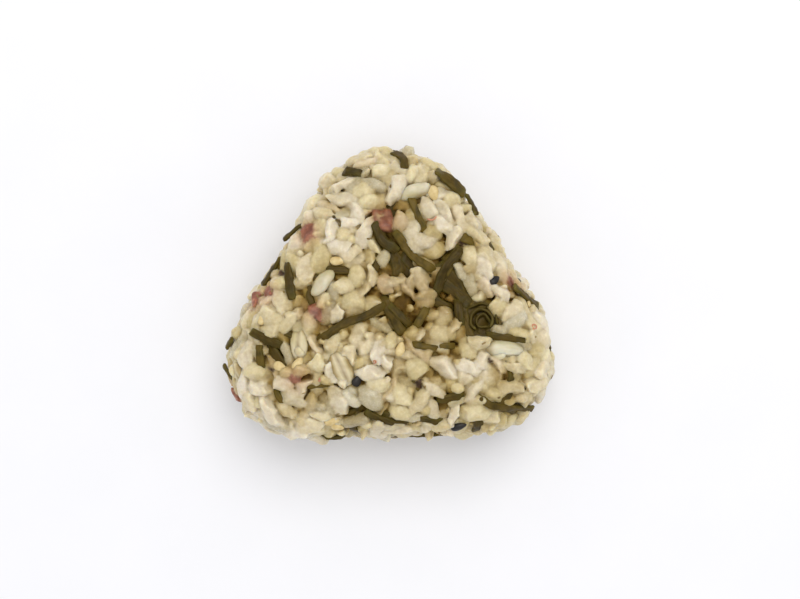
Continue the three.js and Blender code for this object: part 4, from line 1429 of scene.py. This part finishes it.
def pressed_material():
    """Rice and barley stuck together: each grain has its own tone, is whiter where it stands out (a painted
    highlight) and yellower where it meets others (painted shade), is stained by the kelp and pickle near it,
    and is browner down in the gaps (painted shade). The broth patch over the sunken hollow is partly a stain
    and partly painted shade. The walls get less of the painted shade in the gaps than the upper face."""
    shader = Shader("pressed_grains", 0.42, 0.4, 1.0, (1.0, 0.85, 0.55), 1.8)
    place = shader.add("ShaderNodeTexCoord").outputs["Object"]
    tone, hollow, wide_hollow, kelp, broth, rim, depth = [
        shader.attribute(name)
        for name in ("tone", "hollow", "wide_hollow", "kelp_stain", "broth", "rim", "depth")
    ]
    colour = shader.palette(tone, CREAM)
    for kind in ("rice_white", "rice_clear", "rice_pink", "barley"):
        colour = shader.mix(shader.attribute(kind), colour, shader.palette(tone, PALETTES[kind]))
    mottle = shader.noise(place, 420.0, 4.0, 0.6)
    # Lighter and darker mottling, and a painted highlight where the skin stands out.
    colour = shader.layered(
        colour,
        (mottle, 0.5, 0.75, 0.3, (238, 234, 214)),
        (mottle, 0.5, 0.25, 0.3, (192, 176, 126)),
        (hollow, 0.4, 0.2, 0.25, (238, 231, 210)),
    )
    colour = shader.mix(shader.attribute("mash"), colour, srgb(196, 181, 138))
    fibres = shader.noise(place, 700.0, 3.0)
    flesh = shader.ramp(fibres, (0.35, PICKLE[0]), (0.5, PICKLE[1]), (0.68, PICKLE[2]))
    leaf = shader.ramp(fibres, (0.35, DARK_LEAF[0]), (0.65, DARK_LEAF[1]))
    colour = shader.mix(shader.attribute("pickle"), colour, flesh)
    colour = shader.mix(shader.attribute("dark_bit"), colour, leaf)
    # Real stains of the kelp and pickle; the broth patch is partly a stain and partly painted shade of the
    # sunken hollow.
    colour = shader.layered(
        colour,
        (kelp, 0.0, 1.0, 0.4, (210, 198, 150), "MULTIPLY"),
        (broth, 0.0, 1.0, 0.75, (206, 189, 150), "MULTIPLY"),
        (shader.attribute("pickle_stain"), 0.0, 1.0, 0.4, (226, 180, 152), "MULTIPLY"),
    )
    # Painted shade where grains meet, in grooves and in wider hollows: stronger near the kelp and in the
    # broth patch, and weaker on the walls.
    inner = shader.ranged(rim, 0.0, 1.0, 1.0, 0.5)
    touching = shader.times(shader.ranged(shader.attribute("close"), 0.6, 0.95, 0.0, 0.22), inner)
    groove = shader.times(shader.ranged(hollow, 0.56, 0.72, 0.0, 0.45), inner)
    wide = shader.ranged(wide_hollow, 0.6, 0.85, 0.0, 0.4)
    wide = shader.times(wide, shader.ranged(broth, 0.0, 1.0, 1.0, 1.9))
    wide = shader.times(wide, shader.ranged(kelp, 0.0, 1.0, 0.8, 1.8))
    colour = shader.stained(colour, touching, (204, 186, 142))
    colour = shader.stained(colour, groove, (190, 172, 122))
    colour = shader.stained(colour, wide, (182, 160, 108))
    # Painted shade that deepens under the outer surface, browner near the kelp and in the broth patch, and
    # weaker on the walls.
    deep = shader.times(shader.ranged(depth, 0.2, 3.6), shader.ranged(kelp, 0.0, 1.0, 0.8, 1.6))
    sodden = shader.times(broth, shader.ranged(depth, 0.7, 2.2, 0.0, 0.7))
    deep = shader.times(shader.maths("ADD", deep, sodden), inner)
    shades = ((255, 255, 255), (232, 224, 200), (196, 178, 130), (146, 126, 72))
    colour = shader.mix(1.0, colour, shader.palette(deep, [srgb(*shade) for shade in shades]), "MULTIPLY")
    shine = shader.ranged(deep, 0.0, 0.7, 0.4, 0.05)
    shader.tree.links.new(shine, shader.surface.inputs["Specular IOR Level"])
    fine = shader.noise(place, 2400.0, 4.0, 0.6)
    grainy = shader.noise(place, 1100.0, 4.0, 0.65)
    colour = shader.layered(
        colour,
        (grainy, 0.5, 0.7, 0.3, (255, 252, 240), "SOFT_LIGHT"),
        (grainy, 0.5, 0.3, 0.25, (214, 196, 150), "MULTIPLY"),
    )
    normal = shader.bump(grainy, 0.26, 0.25, shader.bump(fine, 0.3, 0.1))
    wetter = shader.ranged(shader.attribute("rice_clear"), 0.0, 1.0, 0.0, 0.14)
    rough = shader.maths("SUBTRACT", shader.ranged(fine, 0.3, 0.7, 0.3, 0.5), wetter)
    return shader.finish(colour, normal, rough)


def kelp_material():
    """Simmered kelp: each strip has its own olive tone, with streaks along it, darker patches and
    paler edges and ends."""
    shader = Shader("kelp", 0.45, 0.12, 0.1, (0.9, 0.8, 0.2), 0.8)
    spot = shader.attribute("spot", "Vector")
    tones = [srgb(62, 48, 13), srgb(80, 63, 18), srgb(102, 83, 30)]
    streaks = shader.noise(shader.stretched(spot, (0.35, 2.2, 2.2)), 1.0, 3.0, 0.55)
    patches = shader.noise(spot, 0.45, 2.0)
    colour = shader.layered(
        shader.palette(shader.attribute("tone"), tones),
        (streaks, 0.5, 0.7, 0.35, (100, 86, 32)),
        (streaks, 0.48, 0.32, 0.35, (40, 32, 8)),
        (patches, 0.45, 0.65, 0.7, (46, 38, 10)),
    )
    colour = shader.mix(shader.times(shader.attribute("edge"), 0.2), colour, srgb(108, 98, 40))
    tip = shader.times(shader.attribute("tip"), shader.ranged(patches, 0.4, 0.6, 0.0, 0.6))
    colour = shader.mix(tip, colour, srgb(128, 118, 56))
    pits = shader.noise(spot, 2.6, 3.0)
    normal = shader.bump(pits, 0.3, 0.12, shader.bump(streaks, 0.3, 0.3))
    return shader.finish(colour, normal, shader.ranged(pits, 0.3, 0.7, 0.28, 0.5))


def sesame_material(name, dark, light):
    shader = Shader(name, 0.4, 0.3, 0.08, (1.0, 0.7, 0.4), 0.5, coat=0.05)
    spot = shader.attribute("spot", "Vector")
    colour = shader.ramp(shader.noise(spot, 0.9, 2.0), (0.3, srgb(*dark)), (0.7, srgb(*light)))
    return shader.finish(colour, shader.bump(shader.noise(spot, 5.0, 3.0), 0.3, 0.1))


def speck_material(name, dark, light):
    shader = Shader(name, 0.5, 0.3, 0.1, (1.0, 0.7, 0.4), 0.5)
    return shader.finish(shader.palette(shader.attribute("tone"), [srgb(*dark), srgb(*light)]))


def floor_material():
    shader = Shader("white_table", 0.9, 0.1)
    paper = shader.noise(shader.add("ShaderNodeTexCoord").outputs["Object"], 40.0, 3.0)
    darker, lighter = (0.845, 0.85, 0.875, 1), (0.86, 0.862, 0.888, 1)
    return shader.finish(shader.ramp(paper, (0.3, darker), (0.7, lighter)))


# ---------------------------------------------------------------- making the ball


STRIP_POINTS = 40  # along the middle of a strip
SHRED_POINTS = 30
BEAD_SPACING = 0.5
WIDEST_BEAD = 0.9


def kelp_obstacles(strips):
    """Beads along the strips that keep the grains off them, and the radius of each one."""
    beads, radii = [], []
    for strip in strips:
        path = strip_path(strip, STRIP_POINTS)
        chain = smooth_path(path, max(3, int(path_length(path) / BEAD_SPACING)))
        beads.append(chain)
        radii.append(np.full(len(chain), min(WIDEST_BEAD, 0.5 * strip["width"])))
    return np.vstack(beads), np.concatenate(radii)


def build_kelp(material):
    for i, strip in enumerate(STRIPS):
        node = f"kelp_strip_{i + 1:02d}"
        dives = [lift == 0 and not strip["on_edge"] for lift in strip["lift"]]
        path = strip_path(strip, STRIP_POINTS)
        arrays = kelp_mesh(path, strip["width"], strip["thickness"], strip["on_edge"], dives)
        piece = new_piece(f"kelp_{i + 1:02d}", *arrays, material, "kelp")
        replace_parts(piece, node)


def build_joined(name, ribbons, material, slot):
    """Many small ribbons as one piece, from the arrays that kelp_mesh() gives for each."""
    vertices, faces, attributes = [], [], {}
    total = 0
    for own, own_faces, own_attributes in ribbons:
        vertices.append(own)
        faces.extend([tuple(total + corner for corner in face) for face in own_faces])
        total += len(own)
        for key, values in own_attributes.items():
            attributes.setdefault(key, []).append(values)
    joined = {key: np.concatenate(values) for key, values in attributes.items()}
    return new_piece(name, np.vstack(vertices), faces, joined, material, slot)


def shred_mesh(shred):
    path = strip_path(shred, SHRED_POINTS)
    return kelp_mesh(path, shred["width"], shred["thickness"], shred["on_edge"])


# Specks of dried herb anywhere: how many, their least and greatest half length, width and height,
# and how uneven they are.
HERBS = {
    "count": 80, "least": (0.26, 0.16, 0.06), "greatest": (0.75, 0.34, 0.12), "uneven": (0.75, 1.2),
    "sectors": 7, "rings": 3,
}
# Thin curls of red skin at (x, y): where each one starts, how far it goes round, in degrees, and
# its radius.
RED_CURLS = (
    (9.4, 21.9, 200, 110, 1.4), (-3.7, -13.2, 20, 300, 0.35), (34.8, -3.7, 0, 330, 0.6),
    (-17.6, -16.4, 60, 320, 0.35),
)
CURL_SHAPE = {"points": 12, "raised": 0.12, "width": 0.34, "thickness": 0.22, "search": 0.9, "facing_up": 0.3}


def build_herbs(skin, material):
    count, sectors, rings = HERBS["count"], HERBS["sectors"], HERBS["rings"]
    picked = skin[RANDOM.choice(len(skin), count, replace=False)]
    bearing = unit(np.cross(picked[:, 3:], RANDOM.normal(size=(count, 3))))
    half = RANDOM.uniform(HERBS["least"], HERBS["greatest"], (count, 3))
    u = np.cos(np.pi * np.arange(1, rings + 1) / (rings + 1))[:, None]
    turn = (2 * np.pi * np.arange(sectors) / sectors)[None, :]
    girth = np.sqrt(1 - u**2)
    ball = np.stack([np.broadcast_to(u, (rings, sectors)), girth * np.cos(turn), girth * np.sin(turn)], -1)
    ball = np.vstack([ball.reshape(-1, 3), [[1, 0, 0], [-1, 0, 0]]])
    local = ball[None] * half[:, None] * RANDOM.uniform(*HERBS["uneven"], (count, len(ball), 1))
    basis = np.stack([bearing, np.cross(picked[:, 3:], bearing), picked[:, 3:]], 1)
    vertices = np.einsum("nvk,nkc->nvc", local, basis) + picked[:, None, :3]
    faces = joined_faces(ball_faces(rings, sectors), len(ball), count)
    tone = {"tone": np.repeat(RANDOM.uniform(size=count), len(ball))}
    piece = new_piece("herb_specks", vertices.reshape(-1, 3), faces, tone, material, "rice")
    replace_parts(piece, "rice_ball")


def build_curls(skin, material):
    curls = []
    for x, y, start, sweep, radius in RED_CURLS:
        near = np.hypot(skin[:, 0] - x, skin[:, 1] - y) < CURL_SHAPE["search"]
        near = skin[near & (skin[:, 5] > CURL_SHAPE["facing_up"])]
        top = near[np.argmax(near[:, 2])]
        side = unit(np.cross(top[3:], [0, 1, 0.1]))
        ahead = np.cross(top[3:], side)
        angles = np.radians(np.linspace(start, start + sweep, CURL_SHAPE["points"]))[:, None]
        path = top[:3] + radius * (np.cos(angles) * side - np.sin(angles) * ahead)
        path = path + CURL_SHAPE["raised"] * top[3:]
        shape = CURL_SHAPE["width"], CURL_SHAPE["thickness"]
        curls.append(kelp_mesh(path, *shape, dives=(False, False)))
    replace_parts(build_joined("red_curls", curls, material, "rice"), "rice_ball")


def build_grains(kelp_beads, kelp_radius, materials):
    heap = loose_grains(landmark_grains(empty_heap()))
    heap = relax(heap, kelp_beads, kelp_radius)
    pickle_beads = heap["centre"][heap["kind"] == KIND_NAMES.index("pickle")]
    skin = build_pressed(crumbs(heap, kelp_beads), kelp_beads, pickle_beads, pressed_material())
    for k, name in enumerate(KIND_NAMES):
        if name in PRESSED_KINDS:
            continue
        picked = np.nonzero(heap["kind"] == k)[0]
        vertices, faces, attributes = grain_arrays(name, heap, picked, kelp_beads, pickle_beads)
        piece = new_piece(name, vertices, faces, attributes, materials[name], "rice")
        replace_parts(piece, "rice_ball")
    return skin


def grain_materials():
    return {
        "rice_wet": grain_material("wet_rice", PALETTES["rice_wet"], 0.8, 2.0, 0.16),
        "barley_creased": grain_material("creased_barley", PALETTES["barley"], 0.35, 1.2, 0.42),
        "sesame_white": sesame_material("white_sesame", (196, 170, 112), (220, 200, 148)),
        "sesame_black": sesame_material("black_sesame", (18, 16, 14), (40, 36, 32)),
    }


# ---------------------------------------------------------------- table, lights and camera

CAMERA_DISTANCE = 420.0  # from the ball's widest level
VIEW_WIDTH = 196.0  # of the table, at that level
VIEW_MIDDLE = (2.2, 2.3)
TABLE_SIZE = 4  # metres, as all that follows is
ORIGIN = Vector((0, 0, 0))
CLIP_START = 0.01
ROOM = {"colour": (0.985, 0.985, 1.0, 1), "strength": 0.78}
# The two soft lights, which aim at the origin: place, size, power and colour.
LIGHTS = {
    "window": ((0.12, 0.42, 0.9), 0.7, 3.5, (1.0, 0.98, 0.95)),
    "ceiling": ((0.1, 0.0, 1.2), 1.0, 2.1, (1.0, 1.0, 1.0)),
}


def build_table():
    bpy.ops.mesh.primitive_grid_add(x_subdivisions=2, y_subdivisions=2, size=TABLE_SIZE)
    table = bpy.context.object
    table.name = "table"
    table.data.materials.append(floor_material())


def build_lights():
    for name, (place, size, power, colour) in LIGHTS.items():
        light = bpy.data.lights.new(name, "AREA")
        light.shape = "DISK"
        light.size = size
        light.energy = power
        light.color = colour
        lamp = bpy.data.objects.new(name, light)
        lamp.location = place
        lamp.rotation_euler = (ORIGIN - Vector(place)).to_track_quat("-Z", "Y").to_euler()
        bpy.context.scene.collection.objects.link(lamp)


def build_room():
    world = bpy.data.worlds.new("soft_room")
    world.use_nodes = True
    background = world.node_tree.nodes["Background"]
    background.inputs["Color"].default_value = ROOM["colour"]
    background.inputs["Strength"].default_value = ROOM["strength"]
    bpy.context.scene.world = world
    bpy.context.scene.view_settings.view_transform = "Standard"


def build_camera():
    data = bpy.data.cameras.new("camera")
    data.lens = data.sensor_width * CAMERA_DISTANCE / VIEW_WIDTH
    data.clip_start = CLIP_START
    camera = bpy.data.objects.new("camera", data)
    camera.location = (VIEW_MIDDLE[0] * MM, VIEW_MIDDLE[1] * MM, (MID_HEIGHT + CAMERA_DISTANCE) * MM)
    bpy.context.scene.collection.objects.link(camera)
    bpy.context.scene.camera = camera


build_camera()
build_room()
build_lights()
build_table()
kelp = kelp_material()
shreds = SHREDS + hidden_shreds()
kelp_beads, kelp_radius = kelp_obstacles(STRIPS + shreds)
skin = build_grains(kelp_beads, kelp_radius, grain_materials())
build_kelp(kelp)
build_joined("kelp_shreds", [shred_mesh(shred) for shred in shreds], kelp, "kelp")
build_herbs(skin, speck_material("herb", (112, 90, 48), (156, 134, 86)))
build_curls(skin, speck_material("red_skin", (184, 122, 92), (200, 140, 110)))
